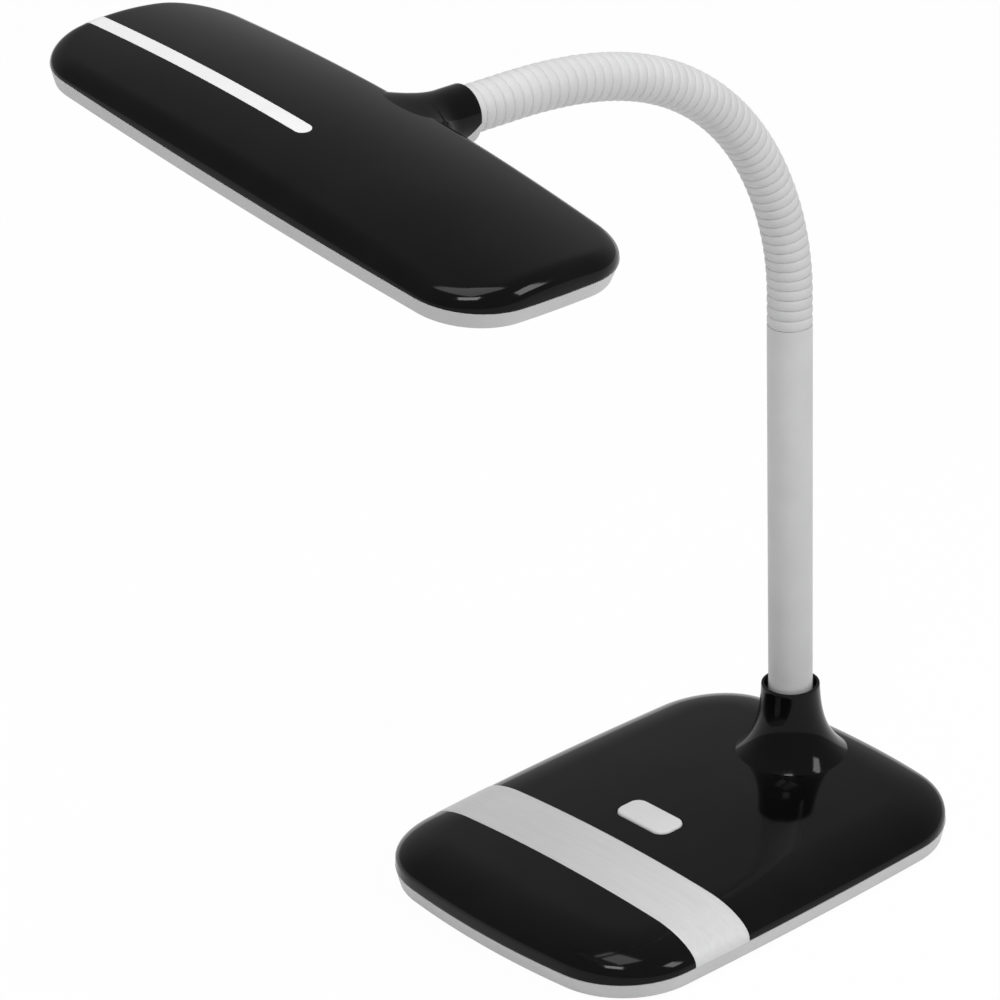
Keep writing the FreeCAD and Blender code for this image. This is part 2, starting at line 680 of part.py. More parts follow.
# Power inlet in the back wall: housing with a nose and bore, and its pin
inlet_front = inlet_edge - wall - float(dim.inlet_set_back) - float(dim.inlet_length)
inlet_face = float(dim.inlet_length) + float(dim.inlet_set_back) + wall / 2
inlet_depth = float(dim.inlet_bore_depth)
inlet_body = cylinder("inlet_nose", dim.inlet_nose_radius, inlet_face)
inlet_block = box("inlet_block", dim.inlet_side, dim.inlet_side, dim.inlet_length, 0, 0, 0)
inlet_bore = cylinder("inlet_bore", dim.inlet_bore_radius, dim.inlet_length, 0, 0,
                      inlet_face - inlet_depth)
inlet_place = Placement(Vector(inlet_x, inlet_front, inlet_z), Rotation(Vector(1, 0, 0), -90))
inlet = cut("inlet", fuse("inlet_solid", [inlet_body, inlet_block]), inlet_bore)
node(inlet, "power_inlet", inlet_place)
pin = cylinder("inlet_pin_rod", dim.inlet_pin_radius, dim.inlet_bore_depth * 0.8)
node(group("inlet_pin", [pin]), "power_inlet_pin",
     inlet_place * Placement(Vector(0, 0, inlet_face - inlet_depth), Rotation()))


# Tray screws, up from below into the shell's posts
def screw(name, shank, x, y, z, down=False, radius=None):
    """A pan-head screw: its head's outer face at z, its shank up, or down."""
    radius = dim.screw_radius if radius is None else radius
    sunk = cylinder(name + "_head", radius * dim.screw_head_share, dim.screw_head_height)
    rod = cylinder(name + "_shank", radius, dim.screw_head_height + shank)
    item = fuse(name, [sunk, rod])
    turn = Rotation(Vector(1, 0, 0), 180) if down else Rotation()
    item.Placement = Placement(Vector(float(x), float(y), float(z)), turn)
    return item


tray_shank = dim.tray_height - dim.screw_head_height + dim.tray_screw_depth - dim.screw_tip_gap
node(group("tray_screw_set", [
    screw(f"tray_screw_{index}", tray_shank, x, y, under_tray)
    for index, (x, y) in enumerate(screw_spots)]), "tray_screws")

# Steel weight plate with the window for the board and the hole for the neck's foot
plate_middle = (dim.ballast_front_gap - dim.ballast_back_gap) / 2
plate_length = dim.base_depth - dim.ballast_front_gap - dim.ballast_back_gap
ballast = plate("ballast", rectangle(dim.base_width - 2 * dim.ballast_side_gap, plate_length, 0,
                                     plate_middle),
                dim.ballast_thickness, plate_low,
                [rectangle(dim.ballast_window_length, dim.ballast_window_width, 0, button_y)])
holes = [cylinder("foot_hole", dim.shank_radius, dim.ballast_thickness, 0, pole_y, plate_low)]
for index, (x, y) in enumerate(ballast_spots):
    holes.append(cylinder(f"ballast_hole_{index}", dim.screw_radius, dim.ballast_thickness,
                          x, y, plate_low))
node(cut("ballast_drilled", ballast, fuse("ballast_holes", holes)), "ballast_plate")
ballast_head_top = plate_top + dim.screw_head_height
node(group("ballast_screw_set", [
    screw(f"ballast_screw_{index}",
          dim.ballast_thickness + dim.ballast_seat - dim.tray_floor - dim.screw_tip_gap,
          x, y, ballast_head_top, down=True)
    for index, (x, y) in enumerate(ballast_spots)]), "ballast_screws")

# Control board on its posts, with its screws and parts
board = plate("board", rectangle(dim.board_length, dim.board_width, 0, button_y),
              dim.board_thickness, board_low)
board_holes = [cylinder(f"board_hole_{index}", dim.board_screw_radius, dim.board_thickness,
                        x, y, board_low)
               for index, (x, y) in enumerate(board_spots)]
node(cut("board_drilled", board, fuse("board_holes", board_holes)), "control_board")
node(group("board_screw_set", [
    screw(f"board_screw_{index}",
          dim.board_thickness + dim.board_seat - dim.tray_floor - dim.screw_tip_gap,
          x, y, board_top + dim.screw_head_height, down=True, radius=dim.board_screw_radius)
    for index, (x, y) in enumerate(board_spots)]), "board_screws")
board_parts = [
    box("driver_chip", dim.chip_block_length, dim.chip_block_width, dim.chip_block_height,
        dim.part_side, button_y - dim.part_end, board_top),
    cylinder("coil_can", dim.coil_radius, dim.part_height, -dim.part_side,
             button_y - dim.part_end, board_top),
    cylinder("capacitor_can", dim.can_radius, dim.part_height, -dim.part_side,
             button_y + dim.part_end, board_top),
    box("inlet_plug", dim.plug_length, dim.plug_width, dim.part_height,
        dim.part_side, button_y + dim.part_end, board_top),
    box("neck_plug", dim.plug_length, dim.plug_width, dim.part_height,
        0, button_y + dim.part_end + dim.board_screw_inset, board_top),
]
node(group("board_part_set", board_parts), "board_parts")

# Push switch under the button
housing = box("switch_block", dim.switch_side, dim.switch_side, dim.switch_height, 0, button_y,
              board_top)
switch_top = board_top + dim.switch_height
well = cylinder("switch_well", dim.plunger_radius + dim.plunger_gap, dim.plunger_well, 0, button_y,
                switch_top - dim.plunger_well)
node(cut("switch", housing, well), "switch_housing")

# Button: cap through the shell and its retaining flange, standing on the plunger
flange_corner = (button_hole_length / 2 + float(dim.button_lip),
                 float(button_y) - button_hole_width / 2 - float(dim.button_lip))
flange_top = crown_level(*flange_corner, wall) - float(dim.button_rest_gap)
flange_low = flange_top - float(dim.button_flange)
cap_top = float(crown_top) + float(dim.button_proud)
cap = rounded_slab(float(dim.button_length), float(dim.button_width), float(dim.button_corner), 0,
                   float(button_y), flange_low, cap_top)
top_face = max(cap.Faces, key=lambda one: one.CenterOfMass.z)
cap = cap.makeFillet(float(dim.button_edge), top_face.OuterWire.Edges)
flange = rounded_slab(button_hole_length + 2 * float(dim.button_lip),
                      button_hole_width + 2 * float(dim.button_lip),
                      float(dim.button_corner), 0, float(button_y), flange_low, flange_top)
node(fixed_shape("button", cap.fuse(flange).removeSplitter()), "power_button")
plunger_low = float(switch_top) - float(dim.plunger_engaged)
plunger_shape = cylinder_shape(float(dim.plunger_radius), flange_low - plunger_low, 0,
                               float(button_y), plunger_low)
node(fixed_shape("plunger", plunger_shape), "switch_plunger")

# Neck: its centreline rises from the base, then bends towards the user in the plane x = 0
BENDS = [float(number) for number in (
    dim.bend_0, dim.bend_1, dim.bend_2, dim.bend_3, dim.bend_4, dim.bend_5)]
TRACE_STEP = 0.1
rib = float(dim.rib_pitch)
link_ribs = int(float(dim.link_ribs))
tail_ribs = int(float(dim.tail_ribs))
first_ribs = int(float(dim.first_ribs))
link_length = rib * link_ribs
link_count = int(float(dim.link_count))
tube_top = float(parting + dim.tube_top)
first_hinge = tube_top + first_ribs * rib
last_hinge = first_hinge + link_count * link_length
ribbed_end = last_hinge + tail_ribs * rib
neck_end = ribbed_end - rib


def turn_rate(along):
    """Degrees turned per millimetre past the first hinge; the tail is straight."""
    if along > last_hinge - first_hinge:
        return 0.0
    place = along / float(dim.bend_step)
    step = min(int(place), len(BENDS) - 2)
    share = min(place - step, 1.0)
    return (BENDS[step] * (1 - share) + BENDS[step + 1] * share) / 10


def trace_neck(length):
    """Points (y, z, lean) on the centreline, one each TRACE_STEP past the bend's start."""
    y = float(pole_y)
    z = first_hinge
    lean = 0.0
    trace = [(y, z, lean)]
    for index in range(int(length / TRACE_STEP) + 2):
        half = turn_rate((index + 0.25) * TRACE_STEP) * TRACE_STEP / 2
        middle = math.radians(lean + half)
        y -= math.sin(middle) * TRACE_STEP
        z += math.cos(middle) * TRACE_STEP
        lean += turn_rate((index + 0.5) * TRACE_STEP) * TRACE_STEP
        trace.append((y, z, lean))
    return trace


trace = trace_neck(ribbed_end - first_hinge + 1)


def neck_frame(height):
    """Point and lean of the centreline, by its length above the resting plane."""
    past = height - first_hinge
    if past <= 0:
        return Vector(0, float(pole_y), height), 0.0
    place = past / TRACE_STEP
    step = int(place)
    share = place - step
    low = trace[step]
    high = trace[step + 1]
    y, z, lean = (a * (1 - share) + b * share for a, b in zip(low, high))
    return Vector(0, y, z), lean


def direction(lean):
    """Unit vector along the neck."""
    angle = math.radians(lean)
    return Vector(0, -math.sin(angle), math.cos(angle))


def ring(height, radius):
    """A circle square to the neck, its seam on the steady X axis."""
    point, lean = neck_frame(height)
    circle = Part.Circle(point, direction(lean), radius)
    circle.XAxis = Vector(1, 0, 0)
    return Part.Wire([circle.toShape()])


def sleeve_shape(start, end, rib_start, ribs, bore_from, bore_to):
    """Ribbed sleeve between two lengths: a ruled loft over the ribs, less a straight bore."""
    valley = float(dim.rib_valley_radius)
    crest = float(dim.tube_radius)
    half_valley = float(dim.rib_valley_share) * rib / 2
    half_crest = float(dim.rib_crest_share) * rib / 2
    rings = []
    for index in range(ribs):
        low = rib_start + index * rib
        middle = low + rib / 2
        first = max(low + half_valley, start + 0.01)
        last = min(low + rib - half_valley, end - 0.01)
        if index == 0:
            first = start
        if index == ribs - 1:
            last = end
        rings += [ring(first, valley), ring(middle - half_crest, crest),
                  ring(middle + half_crest, crest), ring(last, valley)]
    solid = Part.makeLoft(rings, True, True)
    axis = bore_to - bore_from
    length = axis.Length
    axis.normalize()
    bore = Part.makeCylinder(float(dim.core_radius), length * 3, bore_from - axis * length, axis)
    return solid.cut(bore)


# Smooth stem tube, standing on the weight plate inside the shell's socket
tube_low = plate_top
tube_solid = cylinder("tube_outside", dim.tube_radius, parting + dim.tube_top - tube_low)
tube_bore = cylinder("tube_inside", dim.core_radius, parting + dim.tube_top - tube_low)
tube = cut("tube", tube_solid, tube_bore)
node(tube, "stem_tube", Placement(Vector(0, float(pole_y), float(tube_low)), Rotation()))

slit = float(dim.hinge_gap)
hinges = [neck_frame(first_hinge + index * link_length)[0] for index in range(link_count + 1)]
foot_point = Vector(0, float(pole_y), tube_top)
end_point, end_lean = neck_frame(neck_end)
inside_point = neck_frame(ribbed_end)[0]

node(fixed_shape("sleeve_00", sleeve_shape(tube_top, first_hinge - slit, tube_top, first_ribs,
                                           foot_point, hinges[0])), "neck_sleeve_00")
for index in range(link_count):
    start = first_hinge + index * link_length
    shape = sleeve_shape(start + slit, start + link_length - slit, start, link_ribs,
                         hinges[index], hinges[index + 1])
    node(fixed_shape(f"sleeve_{index + 1:02d}", shape), f"neck_sleeve_{index + 1:02d}")
tail_shape = sleeve_shape(last_hinge + slit, ribbed_end, last_hinge, tail_ribs,
                          hinges[-1], inside_point)
node(fixed_shape("sleeve_tail", tail_shape), f"neck_sleeve_{link_count + 1:02d}")


# Steel core inside the sleeve: links that end in a ball, each held by the next link's cup
def upright_to(start, end):
    """Placement that stands a piece at start with its Z axis towards end."""
    turn = Rotation(Vector(0, 0, 1), end - start)
    return Placement(start, turn)


def core_link(name, length, placement, with_cup=True, with_ball=True):
    """One core link along Z: cup at its foot, full core, ball at its top."""
    solids = []
    low = as_size(0)
    if with_cup:
        solids.append(cylinder(name + "_cup", dim.cup_radius, dim.cup_lip + dim.cup_depth, 0, 0,
                               -dim.cup_lip))
        low = dim.cup_depth
    high = as_size(length)
    if with_ball:
        solids.append(sphere(name + "_ball", dim.ball_radius, high))
        high = high - dim.core_shoulder
    solids.append(cylinder(name + "_rod", dim.core_radius, high - low, 0, 0, low))
    tools = [cylinder(name + "_wires", dim.wire_hole_radius, as_size(length) + 4 * dim.ball_radius,
                      0, 0, -2 * dim.ball_radius)]
    if with_cup:
        tools.append(sphere(name + "_seat", dim.ball_radius + dim.ball_gap))
    link = cut(name, fuse(name + "_solid", solids), fuse(name + "_hollow", tools)
               if len(tools) > 1 else tools[0])
    link.Placement = placement
    return link


foot_length = as_size(first_hinge) - tube_low
foot_core = core_link("core_foot", foot_length,
                      Placement(Vector(0, float(pole_y), float(tube_low)), Rotation()),
                      with_cup=False)
node(foot_core, "neck_core_00")
for index in range(link_count):
    span = (hinges[index + 1] - hinges[index]).Length
    node(core_link(f"core_{index + 1:02d}", span, upright_to(hinges[index], hinges[index + 1])),
         f"neck_core_{index + 1:02d}")

# Threaded foot under the plate, with its washer and nut
shank_low = floor_top + dim.shank_floor_gap
shank = cut("foot_shank", cylinder("foot_rod", dim.shank_radius, tube_low - shank_low),
            cylinder("foot_rod_hole", dim.wire_hole_radius, tube_low - shank_low))
node(shank, "neck_threaded_foot", Placement(Vector(0, float(pole_y), float(shank_low)), Rotation()))
washer = turned("washer", [
    (dim.shank_radius, 0),
    (dim.washer_radius, 0),
    (dim.washer_radius, dim.washer_thickness),
    (dim.shank_radius, dim.washer_thickness),
])
bind(washer, y=pole_y, z=plate_low - dim.washer_thickness)
node(washer, "foot_washer")
nut_prism = doc.addObject("Part::Prism", "nut_prism")
nut_prism.Polygon = 6
bind(nut_prism, Circumradius=dim.nut_across / math.sqrt(3), Height=dim.nut_height, y=pole_y,
     z=plate_low - dim.washer_thickness - dim.nut_height)
nut_hole = cylinder("nut_hole", dim.shank_radius, dim.nut_height, 0, pole_y,
                    plate_low - dim.washer_thickness - dim.nut_height)
node(cut("nut", nut_prism, nut_hole), "foot_nut")

# Head: its own frame has the parting plane at z = 0, the socket towards +Y, the user at -Y
neck_way = direction(end_lean)
head_centre = end_point + neck_way * float(dim.head_reach)
head_tilt = Rotation(Vector(1, 0, 0), end_lean - 90)
head_turn = Rotation(Vector(0, 1, 0), float(dim.head_roll))
head_place = Placement(head_centre, head_tilt * head_turn)
socket_face = float(dim.head_reach + dim.collar_lip)
sleeve_inside = float(dim.head_reach) - rib

# The core's last link reaches through the socket into the head
tail_length = float((inside_point - hinges[-1]).Length) + float(dim.fitting_length)
node(core_link("core_tail", tail_length, upright_to(hinges[-1], inside_point), with_ball=False),
     f"neck_core_{link_count + 1:02d}")


def head_crown(inset, low):
    rounding = max(float(dim.head_round) - inset, float(dim.head_round) / 4)
    return crowned(HEAD, inset, low, float(dim.head_rise), float(dim.head_arc_across),
                   float(dim.head_arc_along), rounding)


def along_neck(radius, near, far):
    """A cylinder on the neck's axis in the head's frame, from y = near back to y = far."""
    return cylinder_shape(radius, far - near, 0, near, 0, Vector(0, 1, 0))


head_wall = float(dim.head_wall)
sleeve_hole = float(dim.tube_radius + dim.collar_gap)
core_hole = float(dim.core_radius)
head_back = HEAD[1] / 2
far = max(HEAD) * 2

def smooth_ring(points):
    """Closed curve through the points; equal shares keep the rings of one loft alike."""
    shares = [index / len(points) for index in range(len(points) + 1)]
    curve = Part.BSplineCurve()
    curve.interpolate(Points=points, PeriodicFlag=True, Parameters=shares)
    return Part.Wire([curve.toShape()])


# Neck socket of the head: one flared tube, parted into a black upper and a light lower half
root_back = float(dim.collar_root_back)
flare_start = root_back + float(dim.collar_flare_run)
socket_end = root_back - float(dim.collar_sunk)
SOCKET_POINTS = 24
SOCKET_SECTIONS = 12
FLARE_POWER = 2.2


def socket_ring(y):
    """Section of the socket at y: a half ellipse above the axis and a deeper one below."""
    spread = max(flare_start - y, 0.0) / float(dim.collar_flare_run)
    wide = float(dim.collar_radius) + float(dim.collar_flare) * spread ** FLARE_POWER
    high = float(dim.collar_radius)
    towards_head = min((socket_face - y) / (socket_face - root_back), 1.0)
    deep = float(dim.collar_depth) * (1 - towards_head) + float(dim.collar_low_depth) * towards_head
    points = []
    for index in range(SOCKET_POINTS):
        angle = 2 * math.pi * index / SOCKET_POINTS + math.pi
        tall = high if math.cos(angle) > 0 else deep
        points.append(Vector(wide * math.sin(angle), y, tall * math.cos(angle)))
    return smooth_ring(points)


socket_run = socket_face - socket_end
socket = Part.makeLoft([socket_ring(socket_face - socket_run * step / (SOCKET_SECTIONS - 1))
                        for step in range(SOCKET_SECTIONS)], True, True)


def socket_side(gap):
    """Everything above the parting between the socket's halves; gap lowers it."""
    skirt_low = -float(dim.skirt_depth) - gap
    skirt_front = head_back + float(dim.half_gap) - gap
    corners = [(-far, far), (-far, -gap), (skirt_front, -gap), (skirt_front, skirt_low),
               (socket_face - float(dim.skirt_slope_run), skirt_low), (socket_face, -gap),
               (far, -gap), (far, far)]
    face = Part.Face(Part.makePolygon([Vector(-far, y, z) for y, z in corners + corners[:1]]))
    return face.extrude(Vector(2 * far, 0, 0))


hood = socket.common(socket_side(0.0))
head_outer = head_crown(0.0, 0.0)
head_inner = head_crown(head_wall, 0.0)
hood = hood.cut(head_inner.common(slab_shape(-far, far, -far, head_back - 2 * head_wall, 0, far)))
head_shell = head_outer.cut(head_inner).fuse(hood)
head_shell = head_shell.cut(along_neck(sleeve_hole, sleeve_inside, socket_face + 1))
head_shell = head_shell.cut(along_neck(core_hole, 0, socket_face + 1))
strip_low = -float(dim.strip_front) - float(dim.strip_width) / 2
strip_high = -float(dim.strip_front) + float(dim.strip_width) / 2
strip_middle = -float(dim.strip_front)
half_strip = float(dim.strip_width) / 2


def strip_prism(margin):
    """Upright slab over the inlay's path: the left end to its rounded end."""
    straight_end = float(dim.strip_end) - half_strip
    run = slab_shape(-HEAD[0], straight_end, strip_low - margin, strip_high + margin, 0, HEAD[1])
    nose = cylinder_shape(half_strip + margin, HEAD[1], straight_end, strip_middle, 0)
    return run.fuse(nose).removeSplitter()


under_strip = head_crown(float(dim.strip_thickness), 0.0)
head_shell = head_shell.cut(strip_prism(gap).cut(under_strip))
head_screw_spots = [(across * (HEAD[0] / 2 - float(dim.head_screw_end)),
                     along * (head_back - float(dim.head_screw_inset)))
                    for across, along in CORNERS]
heat_y = -float(dim.heat_front)
heat_length = dim.head_width - 2 * dim.heat_end_gap
heat_spots = [(across * float(heat_length / 2 - dim.heat_screw_end),
               heat_y + along * float(dim.heat_width / 2 - dim.heat_screw_side))
              for across, along in CORNERS]
heat_top = float(dim.heat_rise + dim.heat_thickness)
slim_post = float(dim.post_radius)
slim_screw = float(dim.board_screw_radius)
slim_head = slim_screw * float(dim.screw_head_share)
for x, y in head_screw_spots:
    head_shell = head_shell.fuse(cylinder_shape(slim_post, HEAD[1], x, y, 0).common(head_outer))
for x, y in heat_spots:
    head_shell = head_shell.fuse(
        cylinder_shape(slim_post, HEAD[1], x, y, heat_top).common(head_outer))
head_shell = head_shell.cut(strip_prism(gap).cut(under_strip))
post_depth = float(dim.head_screw_depth)
for x, y in head_screw_spots:
    head_shell = head_shell.cut(cylinder_shape(slim_screw, post_depth, x, y, 0))
heat_depth = float(dim.heat_screw_depth)
for x, y in heat_spots:
    head_shell = head_shell.cut(cylinder_shape(slim_screw, heat_depth, x, y, heat_top))
node(fixed_shape("head_shell", head_shell.removeSplitter()), "head_top_shell", head_place)

strip = head_outer.common(strip_prism(0.0)).cut(under_strip)
node(fixed_shape("strip", strip), "head_accent_strip", head_place)

# Bottom frame of the head: leaning rim, border round the light window, lower half of the socket
rim_low = -float(dim.rim_height)
frame_floor = rim_low + float(dim.rim_floor)
window = float(dim.window_inset)
frame_outer = Part.makeLoft([
    outline_wire(*HEAD, float(dim.rim_inset), rim_low),
    outline_wire(*HEAD, 0.0, 0.0),
], True, True)
lower_socket = socket.cut(socket_side(float(dim.half_gap) / 2))
lower_socket = lower_socket.cut(slab_shape(-far, far, -far, head_back - float(dim.rim_wall), -far, far))
hollow = prism(HEAD, float(dim.rim_wall + dim.rim_inset), frame_floor, 1.0)
frame_shape = frame_outer.cut(hollow)
frame_shape = frame_shape.fuse(lower_socket)
frame_shape = frame_shape.cut(along_neck(sleeve_hole, sleeve_inside, socket_face + 1))
frame_shape = frame_shape.cut(along_neck(core_hole, 0, socket_face + 1))
frame_shape = frame_shape.cut(prism(HEAD, window, rim_low - 1, frame_floor + 1))
head_screw_head = float(dim.head_screw_head)
for x, y in head_screw_spots:
    frame_shape = frame_shape.fuse(cylinder_shape(slim_post, -frame_floor, x, y, frame_floor))
    frame_shape = frame_shape.cut(cylinder_shape(slim_head, head_screw_head, x, y, rim_low))
    frame_shape = frame_shape.cut(cylinder_shape(slim_screw, -rim_low, x, y, rim_low))
node(fixed_shape("frame", frame_shape.removeSplitter()), "head_bottom_frame", head_place)

# Diffuser: plate on the frame's border, with a step that fills the window
ledge = window - float(dim.diffuser_ledge)
diffuser_plate = prism(HEAD, ledge, frame_floor, frame_floor + float(dim.diffuser_thickness))
diffuser_step = prism(HEAD, window + float(dim.diffuser_gap), rim_low + float(dim.diffuser_set_in),
                      frame_floor)
node(fixed_shape("diffuser_panel", diffuser_plate.fuse(diffuser_step).removeSplitter()),
     "diffuser", head_place)


# Screws of the head, up into the shell's posts
def slim_screw_shape(x, y, low, shank, head_height):
    head = cylinder_shape(slim_head, head_height, x, y, low)
    return head.fuse(cylinder_shape(slim_screw, head_height + shank, x, y, low))


tip_gap = float(dim.screw_tip_gap)
head_shank = -rim_low - head_screw_head + post_depth - tip_gap
head_screws = Part.makeCompound([slim_screw_shape(x, y, rim_low, head_shank, head_screw_head)
                                 for x, y in head_screw_spots])
node(fixed_shape("head_screw_set", head_screws), "head_screws", head_place)

# Heat plate under the shell's posts, its screws, the light board and its chips
heat = plate("heat", rectangle(heat_length, dim.heat_width, 0, -dim.heat_front),
             dim.heat_thickness, dim.heat_rise)
heat_holes = [cylinder(f"heat_hole_{index}", dim.board_screw_radius, dim.heat_thickness, x, y,
                       dim.heat_rise)
              for index, (x, y) in enumerate(heat_spots)]
node(cut("heat_drilled", heat, fuse("heat_holes", heat_holes)), "heat_plate", head_place)
heat_low = float(dim.heat_rise)
heat_head = float(dim.heat_screw_head)
heat_screws = Part.makeCompound([
    slim_screw_shape(x, y, heat_low - heat_head, float(dim.heat_thickness) + heat_depth - tip_gap,
                     heat_head)
    for x, y in heat_spots])
node(fixed_shape("heat_screw_set", heat_screws), "heat_plate_screws", head_place)
light_low = dim.heat_rise - dim.board_thickness
light_length = heat_length - 2 * dim.light_board_end
light_board = box("light_panel", light_length, dim.light_board_width, dim.board_thickness,
                  0, -dim.heat_front, light_low)
node(group("light_panel_set", [light_board]), "light_board", head_place)
chips = []
columns = int(float(dim.chip_columns))
rows = int(float(dim.chip_rows))
chip_pitch_x = (light_length - 2 * dim.chip_end) / (columns - 1)
chip_pitch_y = (dim.light_board_width - 2 * dim.chip_side_gap) / (rows - 1)
for column in range(columns):
    for line in range(rows):
        x = chip_pitch_x * (column - (columns - 1) / 2)
        y = chip_pitch_y * (line - (rows - 1) / 2) - dim.heat_front
        chips.append(box(f"chip_{column}_{line}", dim.chip_side, dim.chip_side, dim.chip_height,
                         x, y, light_low - dim.chip_height))
node(group("chip_set", chips), "light_chips", head_place)

doc.recompute()

# Nothing is written unless every object computed and every sub-part is a sound solid
for item in doc.Objects:
    if "Invalid" in item.State or "Error" in item.State:
        raise RuntimeError(f"{item.Label} did not compute: {item.State}")
labels = [item.Label for item in nodes]
if len(set(labels)) != len(labels) or len(labels) > 60:
    raise RuntimeError("sub-part names are not unique, or there are too many")
for item in nodes:
    shape = item.Shape
    if shape.isNull() or not shape.isValid() or not shape.Solids:
        raise RuntimeError(f"{item.Label} has no sound solid")
for item in nodes:
    item.Shape.exportStep(f"parts/{item.Label}.step")
    print(item.Label, len(item.Shape.Solids), round(item.Shape.Volume, 1))
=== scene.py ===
import json
import math
import bpy
from mathutils import Matrix, Vector


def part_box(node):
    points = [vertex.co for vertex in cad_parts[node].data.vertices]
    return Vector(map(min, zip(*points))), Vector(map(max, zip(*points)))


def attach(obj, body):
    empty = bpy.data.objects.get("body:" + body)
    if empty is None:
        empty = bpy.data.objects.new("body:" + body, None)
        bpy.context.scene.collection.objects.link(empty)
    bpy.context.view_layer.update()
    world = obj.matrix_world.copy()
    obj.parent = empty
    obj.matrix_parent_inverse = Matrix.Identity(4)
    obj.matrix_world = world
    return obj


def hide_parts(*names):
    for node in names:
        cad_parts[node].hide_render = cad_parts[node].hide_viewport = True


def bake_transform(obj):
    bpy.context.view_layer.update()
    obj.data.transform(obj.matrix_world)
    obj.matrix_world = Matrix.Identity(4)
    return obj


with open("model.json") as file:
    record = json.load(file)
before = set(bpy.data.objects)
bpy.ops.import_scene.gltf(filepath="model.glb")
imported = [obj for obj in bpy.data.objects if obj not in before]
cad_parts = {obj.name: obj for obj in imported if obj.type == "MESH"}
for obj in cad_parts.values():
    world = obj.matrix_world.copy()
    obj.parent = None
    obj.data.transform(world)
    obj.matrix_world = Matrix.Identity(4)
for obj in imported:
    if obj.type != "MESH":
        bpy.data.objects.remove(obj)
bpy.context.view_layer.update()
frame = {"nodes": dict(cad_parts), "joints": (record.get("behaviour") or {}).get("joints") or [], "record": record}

# Gooseneck desk lamp. Lengths below are in millimetres and are scaled to metres by MM.
MM = 0.001

# Base outline and crown
BASE = {"width": 137.8, "depth": 182.6, "corner": 32.5, "front_arc": 339.0, "side_arc": 1960.0}
BASE_RISE = 13.0
FALL_ACROSS = 3.4
FALL_ALONG = 1.1
FALL_EASE = 8
SHOULDER_WIDTH = 20.0
SHOULDER_HEIGHT = 8.3
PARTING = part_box("base_top_shell")[0].z / MM
SHELL_WALL = 2.2
BAND_FRONT = -54.0
BAND_BACK = -29.0

# Button
BUTTON = {"width": 25.0, "depth": 13.0, "corner": 4.4, "front_arc": 4000.0, "side_arc": 4000.0}
BUTTON_Y = -10.5
BUTTON_GAP = 0.35

# Neck
POLE_Y = 60.1
TUBE_RADIUS = 8.0
RIM_RADIUS = 10.6
FLARE_FOOT = 22.5
FLARE_SUNK = 2.4
VALLEY_RADIUS = 7.35
RIB_PITCH = 3.891
RIBS_PER_LINK = 4
RIBS_BELOW = 3
RIBS_BEHIND = 6
END_LEAN = math.radians(88.51)
HEAD_REACH = 56.0

# Head outline and crown, in the head's own frame
HEAD = {"width": 215.6, "depth": 77.4, "corner": 23.7, "front_arc": 2380.0, "side_arc": 365.0}
HEAD_CROWN = {"rise": 13.0, "across": 1100.0, "along": 130.0, "rounding": 6.0}
# Where the crown is low, its rounding takes this share of the height
ROUNDING_SHARE = 0.86
HEAD_WALL = 2.0
HEAD_ROLL = math.radians(7.6)
STRIP_Y = -10.5
STRIP_HALF = 3.0
STRIP_END = 3.2

# Neck socket on the head's back edge
SOCKET_FACE = HEAD_REACH + 0.4
SOCKET_RADIUS = 9.2
SOCKET_DEPTH = 10.8
SOCKET_ROOT = 34.0
SOCKET_ROOT_DEPTH = 5.0
SOCKET_END = 22.0
FLARE_START = 48.0
FLARE_RUN = 14.0
FLARE_WIDTH = 10.8
FLARE_POWER = 2.2
SKIRT_DEPTH = 5.0
SKIRT_RUN = 5.5
SKIRT_REACH = 0.98
FLARE_LIFT = 0.7
PARTING_LIFT = 0.3

# The black shells lie this far under the light inlays
INLAY_PROUD = 0.1

# Lower edge of a shell: a hair above the parting line, with a small bevel
SEAM = 0.02
BEVEL_IN = 0.25
BEVEL_UP = 0.3

# Levels of the light and of the floor
LIGHT_LEVEL = 0.42
SEEN_LEVEL = 1.0
FLOOR_GRAY = 0.9
FLOOR_GLOW_SHARE = 0.97


# Mesh helpers

def skin(rings, loop=False, cap_first=False, cap_last=False, closed=True):
    """Quads between rings of equal length; returns points and faces."""
    count = len(rings[0])
    points = [point for ring in rings for point in ring]
    faces = []
    levels = len(rings) if loop else len(rings) - 1
    steps = count if closed else count - 1
    for level in range(levels):
        low = level * count
        high = (level + 1) % len(rings) * count
        for index in range(steps):
            onward = (index + 1) % count
            faces.append((low + index, low + onward, high + onward, high + index))
    if cap_first:
        faces.append(tuple(reversed(range(count))))
    if cap_last:
        faces.append(tuple(range(len(points) - count, len(points))))
    return points, faces


def piece(name, shape, material, body, place=None, sharp=40.0, replaces=()):
    """A smooth-shaded mesh object from points in millimetres, riding on a CAD body."""
    points, faces = shape
    mesh = bpy.data.meshes.new(name)
    mesh.from_pydata([tuple(Vector(point) * MM) for point in points], [], faces)
    mesh.validate()
    mesh.shade_smooth()
    mesh.set_sharp_from_angle(angle=math.radians(sharp))
    mesh.materials.append(material)
    made = bpy.data.objects.new(name, mesh)
    bpy.context.scene.collection.objects.link(made)
    if place is not None:
        mesh.transform(place)
    mesh.update()
    if replaces:
        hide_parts(*replaces)
    if body:
        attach(made, body)
    return made


def flipped(shape):
    points, faces = shape
    return points, [tuple(reversed(face)) for face in faces]


def spread(low, high, count):
    """Evenly spaced numbers, both ends included."""
    return [low + (high - low) * index / (count - 1) for index in range(count)]


def mix(low, high, share):
    return low + (high - low) * share


def smooth(share):
    share = min(max(share, 0.0), 1.0)
    return share * share * (3 - 2 * share)


# Outlines of the base, the head and the button, and the head's crown

